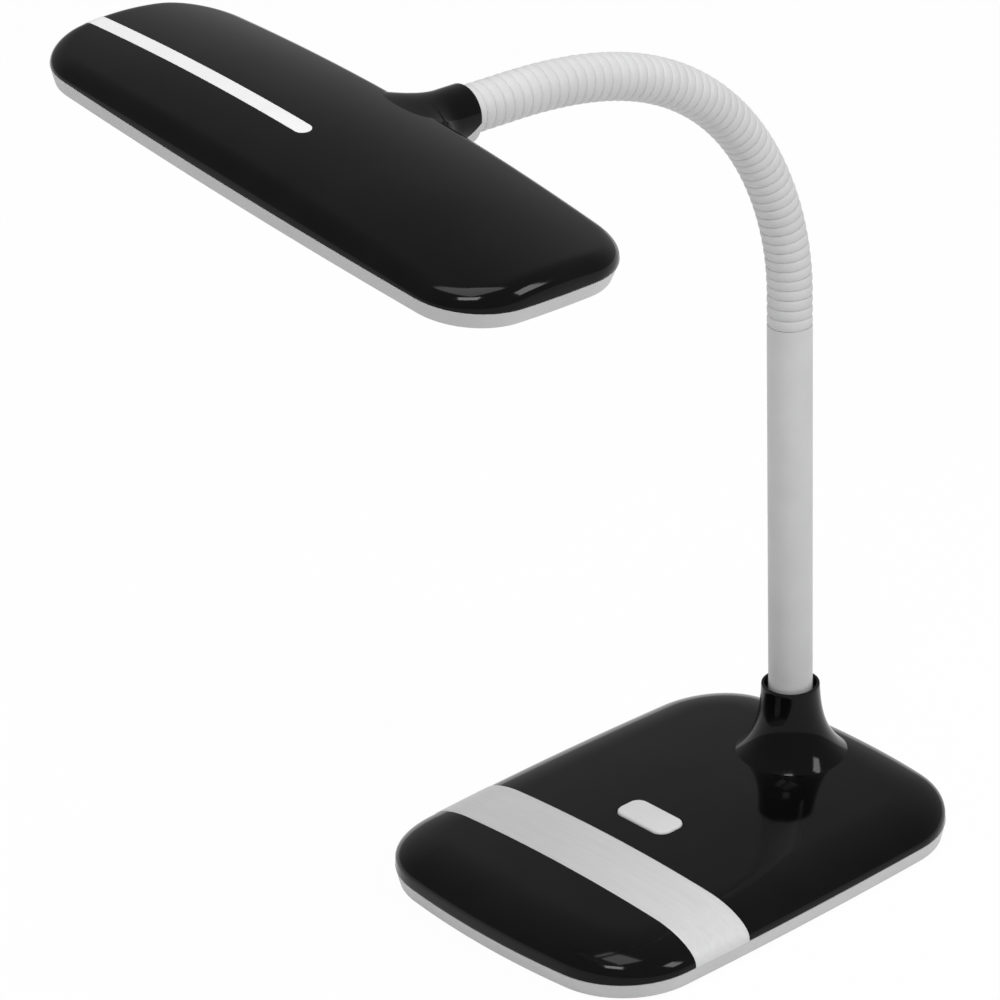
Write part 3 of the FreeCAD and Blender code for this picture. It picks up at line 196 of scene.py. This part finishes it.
def outline(form, inset, arc_points=10, corner_points=14):
    """Points (x, y) round a rounded rectangle with bowed edges, drawn in by inset."""
    half_width = form["width"] / 2 - inset
    half_depth = form["depth"] / 2 - inset
    corner = form["corner"] - inset
    front = form["front_arc"] - inset
    side = form["side_arc"] - inset
    corner_x = half_width - corner
    corner_y = half_depth - corner
    for _ in range(60):
        corner_y = half_depth - front + math.sqrt((front - corner) ** 2 - corner_x ** 2)
        corner_x = half_width - side + math.sqrt((side - corner) ** 2 - corner_y ** 2)
    side_turn = math.asin(corner_y / (side - corner))
    front_turn = math.asin(corner_x / (front - corner))
    quarter = []
    for angle in spread(0.0, side_turn, arc_points)[:-1]:
        quarter.append((half_width - side + side * math.cos(angle), side * math.sin(angle)))
    for angle in spread(side_turn, math.pi / 2 - front_turn, corner_points)[:-1]:
        quarter.append((corner_x + corner * math.cos(angle), corner_y + corner * math.sin(angle)))
    for angle in spread(front_turn, 0.0, arc_points):
        quarter.append((front * math.sin(angle), half_depth - front + front * math.cos(angle)))
    left = [(-x, y) for x, y in reversed(quarter[:-1])]
    upper = quarter + left
    lower = [(x, -y) for x, y in reversed(upper[1:-1])]
    return upper + lower


def side_edge(form, y):
    """Half width of an outline at y, where its side arc runs."""
    return form["width"] / 2 - form["side_arc"] + math.sqrt(form["side_arc"] ** 2 - y ** 2)


def crown_level(crown, x, y):
    """Height of a doubly curved crown over (x, y)."""
    around = crown["along"] - crown["across"] + math.sqrt(crown["across"] ** 2 - x ** 2)
    return crown["rise"] - crown["along"] + math.sqrt(max(around ** 2 - y ** 2, 0.0))


def rounding_height(crown, x, y):
    """How far the rounding reaches down at the outline point (x, y)."""
    return min(crown["rounding"], ROUNDING_SHARE * crown_level(crown, x, y))


def shell_rings(form, crown, under, inner_ring, crown_rings):
    """Rings of a shell's outside: from its lower edge over the rounding to inner_ring."""
    edge = outline(form, under)
    rings = [
        [(x, y, SEAM) for x, y in outline(form, under + BEVEL_IN)],
        [(x, y, BEVEL_UP) for x, y in edge],
    ]
    for angle in spread(0.0, math.pi / 2, 11):
        inset = under + crown["rounding"] * (1 - math.cos(angle))
        ring = []
        for (x, y), (edge_x, edge_y) in zip(outline(form, inset), edge):
            down = rounding_height(crown, edge_x, edge_y) * (1 - math.sin(angle))
            ring.append((x, y, crown_level(crown, x, y) - under - down))
        rings.append(ring)
    start = rings[-1]
    for share in spread(0.0, 1.0, crown_rings)[1:]:
        ring = []
        for (x, y, _), (inner_x, inner_y) in zip(start, inner_ring):
            x = mix(x, inner_x, share)
            y = mix(y, inner_y, share)
            ring.append((x, y, crown_level(crown, x, y) - under))
        rings.append(ring)
    return rings


def spine(form, inset):
    """The outline shrunk to a line along its longer side, for closing a crown."""
    half_width = form["width"] / 2
    half_depth = form["depth"] / 2
    keep = max(half_width, half_depth)
    share = (keep - min(half_width, half_depth)) / keep
    line = []
    for x, y in outline(form, inset):
        line.append((x * share, 0.0) if half_width > half_depth else (0.0, y * share))
    return line


def turned(profile, segments=96, loop=False):
    """A profile of (radius, height) turned about Z."""
    rings = []
    for radius, z in profile:
        ring = []
        for index in range(segments):
            angle = 2 * math.pi * index / segments
            ring.append((radius * math.cos(angle), radius * math.sin(angle), z))
        rings.append(ring)
    return skin(rings, loop=loop)


def moved(shape, x=0.0, y=0.0, z=0.0):
    points, faces = shape
    return [(a + x, b + y, c + z) for a, b, c in points], faces


# Materials

def new_material(name, color, roughness, metallic=0.0, specular=0.5):
    material = bpy.data.materials.new(name)
    material.use_nodes = True
    tree = material.node_tree
    shader = tree.nodes["Principled BSDF"]
    shader.inputs["Base Color"].default_value = (*color, 1.0)
    shader.inputs["Roughness"].default_value = roughness
    shader.inputs["Metallic"].default_value = metallic
    shader.inputs["Specular IOR Level"].default_value = specular
    return material, tree, shader


def noise(tree, scale, detail=3.0, stretch=(1.0, 1.0, 1.0)):
    """Noise over the piece's own coordinates, in cycles per metre."""
    coordinates = tree.nodes.new("ShaderNodeTexCoord")
    mapping = tree.nodes.new("ShaderNodeMapping")
    mapping.inputs["Scale"].default_value = stretch
    texture = tree.nodes.new("ShaderNodeTexNoise")
    texture.inputs["Scale"].default_value = scale
    texture.inputs["Detail"].default_value = detail
    tree.links.new(coordinates.outputs["Object"], mapping.inputs["Vector"])
    tree.links.new(mapping.outputs["Vector"], texture.inputs["Vector"])
    return texture.outputs["Fac"]


def vary_color(tree, shader, source, dark, light):
    ramp = tree.nodes.new("ShaderNodeValToRGB")
    ramp.color_ramp.elements[0].color = (*dark, 1.0)
    ramp.color_ramp.elements[0].position = 0.3
    ramp.color_ramp.elements[1].color = (*light, 1.0)
    ramp.color_ramp.elements[1].position = 0.7
    tree.links.new(source, ramp.inputs["Fac"])
    tree.links.new(ramp.outputs["Color"], shader.inputs["Base Color"])


def vary_roughness(tree, shader, source, low, high):
    reach = tree.nodes.new("ShaderNodeMapRange")
    reach.inputs["To Min"].default_value = low
    reach.inputs["To Max"].default_value = high
    tree.links.new(source, reach.inputs["Value"])
    tree.links.new(reach.outputs["Result"], shader.inputs["Roughness"])


def add_bump(tree, shader, source, strength, depth):
    bump = tree.nodes.new("ShaderNodeBump")
    bump.inputs["Strength"].default_value = strength
    bump.inputs["Distance"].default_value = depth * MM
    tree.links.new(source, bump.inputs["Height"])
    tree.links.new(bump.outputs["Normal"], shader.inputs["Normal"])


def gray(level):
    return (level, level, level * 1.01)


def gloss_black():
    """Polished black moulding with a faint ripple and fine handling haze."""
    material, tree, shader = new_material("gloss_black", gray(0.003), 0.07, specular=0.15)
    vary_color(tree, shader, noise(tree, 40.0), gray(0.002), gray(0.004))
    vary_roughness(tree, shader, noise(tree, 260.0, 6.0), 0.05, 0.13)
    add_bump(tree, shader, noise(tree, 90.0, 2.0), 0.06, 0.12)
    return material


def pale_plastic(name, level, roughness=0.42, grain=1500.0, depth=0.03):
    """Light grey satin plastic with a fine moulded grain."""
    material, tree, shader = new_material(name, gray(level), roughness, specular=0.42)
    vary_color(tree, shader, noise(tree, 60.0, 4.0), gray(level * 0.96), gray(level * 1.03))
    vary_roughness(tree, shader, noise(tree, 400.0, 5.0), roughness - 0.08, roughness + 0.08)
    add_bump(tree, shader, noise(tree, grain, 4.0), 0.25, depth)
    return material


def brushed_band():
    """Light grey inlay with fine grain lines across the base."""
    material, tree, shader = new_material("brushed_band", gray(0.62), 0.36, specular=0.45)
    lines = noise(tree, 700.0, 5.0, (0.05, 1.0, 1.0))
    vary_color(tree, shader, lines, gray(0.71), gray(0.76))
    vary_roughness(tree, shader, noise(tree, 300.0, 4.0, (0.1, 1.0, 1.0)), 0.32, 0.44)
    add_bump(tree, shader, lines, 0.12, 0.03)
    return material


def frosted_diffuser():
    """White frosted sheet with a fine prism texture."""
    material, tree, shader = new_material("frosted_diffuser", gray(0.82), 0.5)
    coordinates = tree.nodes.new("ShaderNodeTexCoord")
    cells = tree.nodes.new("ShaderNodeTexVoronoi")
    cells.inputs["Scale"].default_value = 520.0
    cells.inputs["Randomness"].default_value = 0.15
    tree.links.new(coordinates.outputs["Object"], cells.inputs["Vector"])
    vary_color(tree, shader, cells.outputs["Distance"], gray(0.84), gray(0.78))
    add_bump(tree, shader, cells.outputs["Distance"], 0.5, 0.15)
    shader.inputs["Subsurface Weight"].default_value = 0.2
    shader.inputs["Subsurface Radius"].default_value = (0.004, 0.004, 0.004)
    return material


def metal(name, color, roughness):
    """Bare metal with fine turning marks."""
    material, tree, shader = new_material(name, color, roughness, metallic=1.0)
    marks = noise(tree, 900.0, 4.0, (1.0, 1.0, 0.2))
    vary_color(tree, shader, marks, tuple(c * 0.85 for c in color), color)
    vary_roughness(tree, shader, marks, roughness - 0.08, roughness + 0.12)
    add_bump(tree, shader, marks, 0.2, 0.02)
    return material


def dull(name, color, roughness=0.7, grain=900.0):
    """Matt moulded or coated surface with a visible grain."""
    material, tree, shader = new_material(name, color, roughness, specular=0.3)
    vary_color(tree, shader, noise(tree, 120.0, 5.0), tuple(c * 0.8 for c in color),
               tuple(min(c * 1.15, 1.0) for c in color))
    vary_roughness(tree, shader, noise(tree, 500.0), roughness - 0.1, min(roughness + 0.1, 1.0))
    add_bump(tree, shader, noise(tree, grain, 6.0), 0.4, 0.08)
    return material


PALE = 0.63
MATERIALS = {
    "gloss_black": gloss_black(),
    "silver_plastic": pale_plastic("pale_rim", PALE),
    "brushed_silver": brushed_band(),
    "button_silver": pale_plastic("pale_button", 0.84, 0.38, 1200.0, 0.02),
    "silver_paint": pale_plastic("pale_tube", PALE, 0.36, 700.0, 0.015),
    "silver_sleeve": pale_plastic("pale_sleeve", 0.68, 0.5, 900.0, 0.05),
    "wound_steel": metal("wound_steel", (0.42, 0.42, 0.43), 0.4),
    "steel": metal("screw_steel", (0.55, 0.55, 0.56), 0.32),
    "bright_pin": metal("bright_pin", (0.75, 0.74, 0.7), 0.2),
    "ballast_iron": dull("ballast_iron", (0.12, 0.12, 0.125), 0.6),
    "black_rubber": dull("black_rubber", (0.02, 0.02, 0.02), 0.85, 1400.0),
    "matte_black": dull("matte_black", (0.025, 0.025, 0.027), 0.55),
    "circuit_board": dull("circuit_board", (0.02, 0.14, 0.06), 0.45),
    "white_board": dull("white_board", (0.75, 0.75, 0.73), 0.4),
    "frosted_white": frosted_diffuser(),
    "aluminium_plate": metal("aluminium_plate", (0.7, 0.7, 0.71), 0.45),
    "light_chip": dull("light_chip", (0.8, 0.66, 0.2), 0.4),
}

for subpart in frame["record"]["subparts"]:
    node_mesh = frame["nodes"][subpart["node"]].data
    node_mesh.materials.clear()
    node_mesh.materials.append(MATERIALS[subpart["material_slot"]])


# Base

def base_level(x, y):
    """Height of the base's crown before its shoulder falls away."""
    across = x * 2 / BASE["width"]
    along_base = min(abs(y * 2 / BASE["depth"]), 1.0)
    fall = FALL_ALONG * along_base ** 2 + FALL_ACROSS * across ** 2 * (1 - along_base ** FALL_EASE)
    return PARTING + BASE_RISE - fall


def shoulder(steps):
    """The soft shoulder as pairs of inset from the wall and drop under the crown."""
    pairs = []
    for angle in spread(0.0, math.pi / 2, steps):
        pairs.append((SHOULDER_WIDTH * (1 - math.cos(angle)), SHOULDER_HEIGHT * (1 - math.sin(angle))))
    return pairs


def base_shell():
    """Black shell with the opening for the button, as a closed skin."""
    hole = dict(BUTTON, width=BUTTON["width"] + 2 * BUTTON_GAP,
                depth=BUTTON["depth"] + 2 * BUTTON_GAP, corner=BUTTON["corner"] + BUTTON_GAP)
    hole_ring = [(x, y + BUTTON_Y) for x, y in outline(hole, 0.0)]
    rings = [
        [(x, y, PARTING + SEAM) for x, y in outline(BASE, INLAY_PROUD + BEVEL_IN)],
        [(x, y, PARTING + BEVEL_UP) for x, y in outline(BASE, INLAY_PROUD)],
    ]
    for inset, drop in shoulder(22):
        rings.append([(x, y, base_level(x, y) - INLAY_PROUD - drop)
                      for x, y in outline(BASE, INLAY_PROUD + inset)])
    start = rings[-1]
    for share in spread(0.0, 1.0, 36)[1:]:
        ring = []
        for (x, y, _), (hole_x, hole_y) in zip(start, hole_ring):
            x = mix(x, hole_x, share)
            y = mix(y, hole_y, share)
            ring.append((x, y, base_level(x, y) - INLAY_PROUD))
        rings.append(ring)
    rings.append([(x, y, base_level(x, y) - SHELL_WALL) for x, y in hole_ring])
    rings.append([(x, y, base_level(x, y) - SHELL_WALL)
                  for x, y in outline(BASE, SHELL_WALL + SHOULDER_WIDTH)])
    rings.append([(x, y, PARTING + SEAM) for x, y in outline(BASE, SHELL_WALL)])
    return skin(rings, loop=True)


def socket():
    """Flared socket round the tube, open at its rim."""
    rim_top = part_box("base_top_shell")[1].z / MM
    low = base_level(0.0, POLE_Y) - FLARE_SUNK
    height = rim_top - low
    rim = RIM_RADIUS
    # Four poles of the flare's curve, then the recess round the tube and the rounded lip
    poles = [(rim, rim_top - 0.5), (rim + 0.5, rim_top - 0.43 * height),
             (rim + 2.3, low + 0.27 * height), (FLARE_FOOT, low)]
    recess = 9.4
    recess_depth = 3.0
    profile = [
        (TUBE_RADIUS + 0.1, rim_top - recess_depth), (recess - 0.05, rim_top - recess_depth),
        (recess, rim_top - recess_depth + 0.1), (recess, rim_top - 0.3),
        (recess + 0.1, rim_top - 0.08), (recess + 0.35, rim_top),
        (rim - 0.35, rim_top), (rim - 0.1, rim_top - 0.12),
    ]
    for share in spread(0.0, 1.0, 40):
        rest = 1 - share
        weights = (rest ** 3, 3 * rest ** 2 * share, 3 * rest * share ** 2, share ** 3)
        profile.append((sum(weight * pole[0] for weight, pole in zip(weights, poles)),
                        sum(weight * pole[1] for weight, pole in zip(weights, poles))))
    profile.append((TUBE_RADIUS + 0.1, low))
    return moved(flipped(turned(profile, 128, loop=True)), y=POLE_Y)


def over_base(y, under):
    """Points across the base at y: up the left wall, over the crown, down the right wall."""
    edge = side_edge(BASE, y) - under
    half = [(edge, PARTING + 0.05)]
    for inset, drop in shoulder(26):
        x = edge - inset
        half.append((x, base_level(x, y) - under - drop))
    inner = edge - SHOULDER_WIDTH
    for share in spread(0.0, 1.0, 22)[1:]:
        x = inner * (1 - share)
        half.append((x, base_level(x, y) - under))
    left = [(-x, y, z) for x, z in half]
    right = [(x, y, z) for x, z in reversed(half[:-1])]
    return left + right


def base_band():
    """Light inlay over the base, its long edges eased into the shell."""
    eased = 0.18
    edge_drop = 0.09
    buried = INLAY_PROUD + 0.5
    front = BAND_FRONT + SEAM
    rear = BAND_BACK - SEAM
    rows = [over_base(front, buried), over_base(front, edge_drop)]
    rows += [over_base(y, 0.0) for y in spread(BAND_FRONT + eased, BAND_BACK - eased, 14)]
    rows += [over_base(rear, edge_drop), over_base(rear, buried)]
    return skin(rows, closed=False)


def button_cap():
    """Button: slightly domed top, rounded edge, skirt down into the opening."""
    low, high = (corner.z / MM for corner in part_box("power_button"))
    edge = 1.1
    dome = 0.35
    flange = 1.4
    rings = [[(x, y, low + flange) for x, y in outline(BUTTON, 0.0)]]
    top = high - dome
    rings.append([(x, y, top - edge) for x, y in outline(BUTTON, 0.0)])
    for angle in spread(0.0, math.pi / 2, 8)[1:]:
        inset = edge * (1 - math.cos(angle))
        rings.append([(x, y, top - edge + edge * math.sin(angle)) for x, y in outline(BUTTON, inset)])
    start = outline(BUTTON, edge)
    for share in spread(0.0, 1.0, 7)[1:]:
        ring = []
        for (x, y), (inner_x, inner_y) in zip(start, spine(BUTTON, edge)):
            ring.append((mix(x, inner_x, share), mix(y, inner_y, share),
                         top + dome * (1 - (1 - share) ** 2)))
        rings.append(ring)
    return moved(skin(rings), y=BUTTON_Y)


piece("base_shell_skin", base_shell(), MATERIALS["gloss_black"], "base",
      replaces=["base_top_shell"])
piece("neck_socket_skin", socket(), MATERIALS["gloss_black"], "base")
piece("base_band_inlay", base_band(), MATERIALS["brushed_silver"], "base",
      replaces=["base_accent_band"])
piece("power_button_cap", button_cap(), MATERIALS["button_silver"], "button",
      replaces=["power_button"])


# Neck: smooth tube, then a ribbed sleeve in pieces, each spanning one hinge

tube_low, tube_high = (corner.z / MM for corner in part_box("stem_tube"))
tube_profile = [
    (5.6, tube_low), (TUBE_RADIUS, tube_low), (TUBE_RADIUS, tube_high - 0.35),
    (TUBE_RADIUS - 0.1, tube_high - 0.1), (TUBE_RADIUS - 0.35, tube_high), (5.6, tube_high),
]
piece("stem_tube_skin", moved(turned(tube_profile, 96, loop=True), y=POLE_Y),
      MATERIALS["silver_paint"], "base", replaces=["stem_tube"])

hinge_of = {joint["child"]: joint for joint in frame["joints"] if joint["type"] == "hinge"}
link_names = sorted(name for name in hinge_of if name.startswith("link_"))
chain = ["base"] + link_names + ["head"]
hinges = [Vector(hinge_of[name]["pos_m"]) / MM for name in chain[1:]]
last = len(hinges) - 1
link_length = RIB_PITCH * RIBS_PER_LINK


def along(lean):
    return Vector((0.0, -math.sin(lean), math.cos(lean)))


def lean_between(low, high):
    step = high - low
    return math.atan2(-step.y, step.z)


chord_leans = [lean_between(hinges[index], hinges[index + 1]) for index in range(last)]
leans = [0.0]
leans += [(chord_leans[index - 1] + chord_leans[index]) / 2 for index in range(1, last)]
leans.append(END_LEAN)


def neck_point(place):
    """Point and lean of the neck's centreline; place counts links from the first hinge."""
    if place <= 0:
        return hinges[0] + along(0.0) * link_length * place, 0.0
    if place >= last:
        return hinges[last] + along(END_LEAN) * link_length * (place - last), END_LEAN
    index = int(place)
    share = place - index
    low = hinges[index]
    high = hinges[index + 1]
    length = (high - low).length
    first = along(leans[index]) * length
    second = along(leans[index + 1]) * length
    point = ((2 * share ** 3 - 3 * share ** 2 + 1) * low + (share ** 3 - 2 * share ** 2 + share) * first
             + (3 * share ** 2 - 2 * share ** 3) * high + (share ** 3 - share ** 2) * second)
    return point, mix(leans[index], leans[index + 1], share)


RIB_STEPS = (0.0, 0.025, 0.07, 0.14, 0.25, 0.4, 0.6, 0.75, 0.86, 0.93, 0.975)


def rib_radius(share):
    """Radius over one rib: wide rounded crest, narrow valley."""
    bulge = math.sin(math.pi * share) ** 0.42 if 0 < share < 1 else 0.0
    return VALLEY_RADIUS + (TUBE_RADIUS - VALLEY_RADIUS) * bulge


def neck_ring(place, radius, segments=72):
    point, lean = neck_point(place)
    across = Vector((1.0, 0.0, 0.0))
    up = Vector((0.0, math.cos(lean), math.sin(lean)))
    ring = []
    for index in range(segments):
        angle = 2 * math.pi * index / segments
        ring.append(tuple(point + across * radius * math.cos(angle) + up * radius * math.sin(angle)))
    return ring


def sleeve_piece(first_rib, last_rib):
    """Ribs from one valley to another, counted from the first hinge."""
    rings = []
    for rib in range(first_rib, last_rib):
        for share in RIB_STEPS:
            rings.append(neck_ring((rib + share) / RIBS_PER_LINK, rib_radius(share)))
    rings.append(neck_ring(last_rib / RIBS_PER_LINK, VALLEY_RADIUS))
    return skin(rings)


half_link = RIBS_PER_LINK // 2
for index in range(len(hinges)):
    first_rib = -RIBS_BELOW if index == 0 else (index - 1) * RIBS_PER_LINK + half_link
    last_rib = index * RIBS_PER_LINK + (half_link if index < last else RIBS_BEHIND)
    ribs = piece(f"neck_sleeve_skin_{index:02d}", sleeve_piece(first_rib, last_rib),
                 MATERIALS["silver_sleeve"], None, sharp=75.0,
                 replaces=[f"neck_sleeve_{index:02d}"] + (["neck_sleeve_13"] if index == last else []))
    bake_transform(ribs)


# Head

tail_length = (RIBS_BEHIND - 1) * RIB_PITCH + HEAD_REACH
head_centre = hinges[last] + along(END_LEAN) * tail_length
head_place = (Matrix.Translation(head_centre * MM)
              @ Matrix.Rotation(END_LEAN - math.pi / 2, 4, "X")
              @ Matrix.Rotation(HEAD_ROLL, 4, "Y"))


def head_level(x, y):
    return crown_level(HEAD_CROWN, x, y)


def head_shell():
    """Black top shell of the head as a closed skin."""
    spine_line = spine(HEAD, INLAY_PROUD + HEAD_CROWN["rounding"])
    outside = shell_rings(HEAD, HEAD_CROWN, INLAY_PROUD, spine_line, 24)
    lower = [(x, y, SEAM) for x, y in outline(HEAD, HEAD_WALL)]
    inner = [(x, y, head_level(x, y) - HEAD_WALL)
             for x, y in outline(HEAD, HEAD_WALL + HEAD_CROWN["rounding"])]
    under = [(x, y, head_level(x, y) - HEAD_WALL) for x, y in spine_line]
    return skin([under, inner, lower] + outside)


def hood():
    """Black half of the neck socket: over the top, with a skirt down both sides."""
    # Bore and rounded lip as pairs of distance from the open face and radius, then the flare
    lip = [(7.0, 8.12), (0.2, 8.12), (0.0, 8.35), (0.0, 8.85), (0.1, SOCKET_RADIUS - 0.12)]
    places = [(SOCKET_FACE - back, radius, radius) for back, radius in lip]
    for y in spread(SOCKET_FACE - 0.35, SOCKET_END, 60):
        flare = max(FLARE_START - y, 0.0) / FLARE_RUN
        places.append((y, SOCKET_RADIUS + FLARE_WIDTH * flare ** FLARE_POWER,
                       SOCKET_RADIUS + FLARE_LIFT * smooth((FLARE_START - y) / FLARE_RUN)))
    rows = []
    for y, width, height in places:
        share = min((SOCKET_FACE - y) / (SOCKET_FACE - SOCKET_ROOT), 1.0)
        depth = mix(SOCKET_DEPTH, SOCKET_ROOT_DEPTH, share) if width >= SOCKET_RADIUS else height
        skirt = min(SKIRT_DEPTH * (SOCKET_FACE - y) / SKIRT_RUN, SKIRT_DEPTH, depth * SKIRT_REACH)
        # Behind the head the skirt hangs below the parting; inside the head it stays above
        if y > HEAD["depth"] / 2:
            reach = math.acos(-skirt / depth)
        else:
            reach = math.acos(PARTING_LIFT / height)
        row = []
        for angle in spread(-reach, reach, 81):
            tall = height if math.cos(angle) > 0 else depth
            row.append((width * math.sin(angle), y, tall * math.cos(angle)))
        rows.append(row)
    return skin(rows, closed=False)


def over_head_end(y, proud):
    """Points (x, z) of the head's left end at y: up the wall, over the rounding."""
    edge = side_edge(HEAD, y) - INLAY_PROUD + proud
    rounding = HEAD_CROWN["rounding"]
    height = rounding_height(HEAD_CROWN, edge, y)
    line = [(-edge, 0.05)]
    for angle in spread(0.0, math.pi / 2, 13):
        x = -edge + rounding * (1 - math.cos(angle))
        level = head_level(x, y) - INLAY_PROUD + proud
        line.append((x, level - height * (1 - math.sin(angle))))
    return line


def head_strip():
    """Light inlay from the head's left end to its rounded end past the middle."""
    across = [(-1.0, -0.4), (-1.0, 0.01), (-0.96, INLAY_PROUD)]
    across += [(share, INLAY_PROUD) for share in spread(-0.8, 0.8, 7)]
    across += [(0.96, INLAY_PROUD), (1.0, 0.01), (1.0, -0.4)]
    straight_end = STRIP_END - STRIP_HALF
    start = over_head_end(STRIP_Y, 0.0)[-1][0]
    columns = []
    for step in range(len(over_head_end(STRIP_Y, 0.0))):
        column = []
        for share, proud in across:
            y = STRIP_Y + share * STRIP_HALF
            x, z = over_head_end(y, proud)[step]
            column.append((x, y, z))
        columns.append(column)
    places = [(x, STRIP_HALF) for x in spread(start + 1.0, straight_end, 50)]
    for angle in spread(0.0, math.pi / 2, 12)[1:]:
        places.append((straight_end + STRIP_HALF * math.sin(angle),
                       max(STRIP_HALF * math.cos(angle), 0.02)))
    for x, half in places:
        column = []
        for share, proud in across:
            y = STRIP_Y + share * half
            column.append((x, y, head_level(x, y) - INLAY_PROUD + proud))
        columns.append(column)
    return skin(columns, closed=False)


piece("head_shell_skin", head_shell(), MATERIALS["gloss_black"], "head", head_place,
      replaces=["head_top_shell"])
piece("neck_hood_skin", hood(), MATERIALS["gloss_black"], "head", head_place)
piece("head_strip_inlay", head_strip(), MATERIALS["button_silver"], "head", head_place,
      replaces=["head_accent_strip"])


# Stage, lights and camera

def floor_material():
    """White floor; what the camera sees of it is lifted towards white and keeps the shadow."""
    material = bpy.data.materials.new("stage_floor")
    material.use_nodes = True
    tree = material.node_tree
    tree.nodes.clear()
    output = tree.nodes.new("ShaderNodeOutputMaterial")
    diffuse = tree.nodes.new("ShaderNodeBsdfDiffuse")
    diffuse.inputs["Color"].default_value = (FLOOR_GRAY, FLOOR_GRAY, FLOOR_GRAY, 1.0)
    glow = tree.nodes.new("ShaderNodeEmission")
    path = tree.nodes.new("ShaderNodeLightPath")
    seen = tree.nodes.new("ShaderNodeMath")
    seen.operation = "MAXIMUM"
    share = tree.nodes.new("ShaderNodeMath")
    share.operation = "MULTIPLY"
    share.inputs[1].default_value = FLOOR_GLOW_SHARE
    blend = tree.nodes.new("ShaderNodeMixShader")
    tree.links.new(path.outputs["Is Camera Ray"], seen.inputs[0])
    tree.links.new(path.outputs["Is Glossy Ray"], seen.inputs[1])
    tree.links.new(seen.outputs[0], share.inputs[0])
    tree.links.new(share.outputs[0], blend.inputs["Fac"])
    tree.links.new(diffuse.outputs[0], blend.inputs[1])
    tree.links.new(glow.outputs[0], blend.inputs[2])
    tree.links.new(blend.outputs[0], output.inputs["Surface"])
    return material


FLOOR_HALF = 6.0
floor_mesh = bpy.data.meshes.new("floor")
floor_mesh.from_pydata([(-FLOOR_HALF, -FLOOR_HALF, 0), (FLOOR_HALF, -FLOOR_HALF, 0),
                        (FLOOR_HALF, FLOOR_HALF, 0), (-FLOOR_HALF, FLOOR_HALF, 0)], [], [(0, 1, 2, 3)])
floor_mesh.materials.append(floor_material())
floor = bpy.data.objects.new("floor", floor_mesh)
bpy.context.scene.collection.objects.link(floor)


def build_world():
    """White surroundings for the camera, a softer level for the light on the object."""
    world = bpy.data.worlds.new("studio")
    bpy.context.scene.world = world
    world.use_nodes = True
    tree = world.node_tree
    background = tree.nodes["Background"]
    background.inputs["Color"].default_value = (1.0, 1.0, 1.0, 1.0)
    path = tree.nodes.new("ShaderNodeLightPath")
    seen = tree.nodes.new("ShaderNodeMath")
    seen.operation = "MAXIMUM"
    level = tree.nodes.new("ShaderNodeMapRange")
    level.inputs["To Min"].default_value = LIGHT_LEVEL
    level.inputs["To Max"].default_value = SEEN_LEVEL
    tree.links.new(path.outputs["Is Camera Ray"], seen.inputs[0])
    tree.links.new(path.outputs["Is Transmission Ray"], seen.inputs[1])
    tree.links.new(seen.outputs[0], level.inputs["Value"])
    tree.links.new(level.outputs["Result"], background.inputs["Strength"])


build_world()

AIM = Vector((0.0, -0.03, 0.16))


def soft_box(name, azimuth, elevation, distance, width, height, power):
    """Area lamp aimed at the object; azimuth 0 is the user's side, 90 the lamp's right."""
    turn = math.radians(azimuth)
    rise = math.radians(elevation)
    back = Vector((math.sin(turn) * math.cos(rise), -math.cos(turn) * math.cos(rise), math.sin(rise)))
    lamp = bpy.data.lights.new(name, "AREA")
    lamp.shape = "RECTANGLE"
    lamp.size = width
    lamp.size_y = height
    lamp.energy = power
    made = bpy.data.objects.new(name, lamp)
    made.location = AIM + back * distance
    made.rotation_euler = back.to_track_quat("Z", "Y").to_euler()
    bpy.context.scene.collection.objects.link(made)


soft_box("key_box", 40, 62, 1.6, 0.45, 0.3, 6.0)
soft_box("right_box", 115, 35, 1.5, 0.3, 0.5, 4.5)
soft_box("top_box", 0, 88, 1.5, 0.7, 0.7, 6.0)

# Camera fitted to the photograph: 4500 pixels of focal length over its 1000 pixels
CAMERA_PLACE = Vector((1.004605, -0.951143, 0.830031))
CAMERA_AZIMUTH = 0.854
CAMERA_RISE = 0.461
CAMERA_ROLL = -0.034
SENSOR = 36.0
FOCAL_SHARE = 4.5

back = Vector((math.sin(CAMERA_AZIMUTH) * math.cos(CAMERA_RISE),
               -math.cos(CAMERA_AZIMUTH) * math.cos(CAMERA_RISE), math.sin(CAMERA_RISE)))
level_right = (-back).cross(Vector((0.0, 0.0, 1.0))).normalized()
level_up = level_right.cross(-back)
right = level_right * math.cos(CAMERA_ROLL) + level_up * math.sin(CAMERA_ROLL)
up = level_up * math.cos(CAMERA_ROLL) - level_right * math.sin(CAMERA_ROLL)
camera_data = bpy.data.cameras.new("camera")
camera_data.sensor_width = SENSOR
camera_data.lens = SENSOR * FOCAL_SHARE
camera = bpy.data.objects.new("camera", camera_data)
turn = Matrix((right, up, back)).transposed()
camera.matrix_world = Matrix.Translation(CAMERA_PLACE) @ turn.to_4x4()
bpy.context.scene.collection.objects.link(camera)
bpy.context.scene.camera = camera
bpy.context.scene.view_settings.view_transform = "Standard"

bpy.context.view_layer.update()
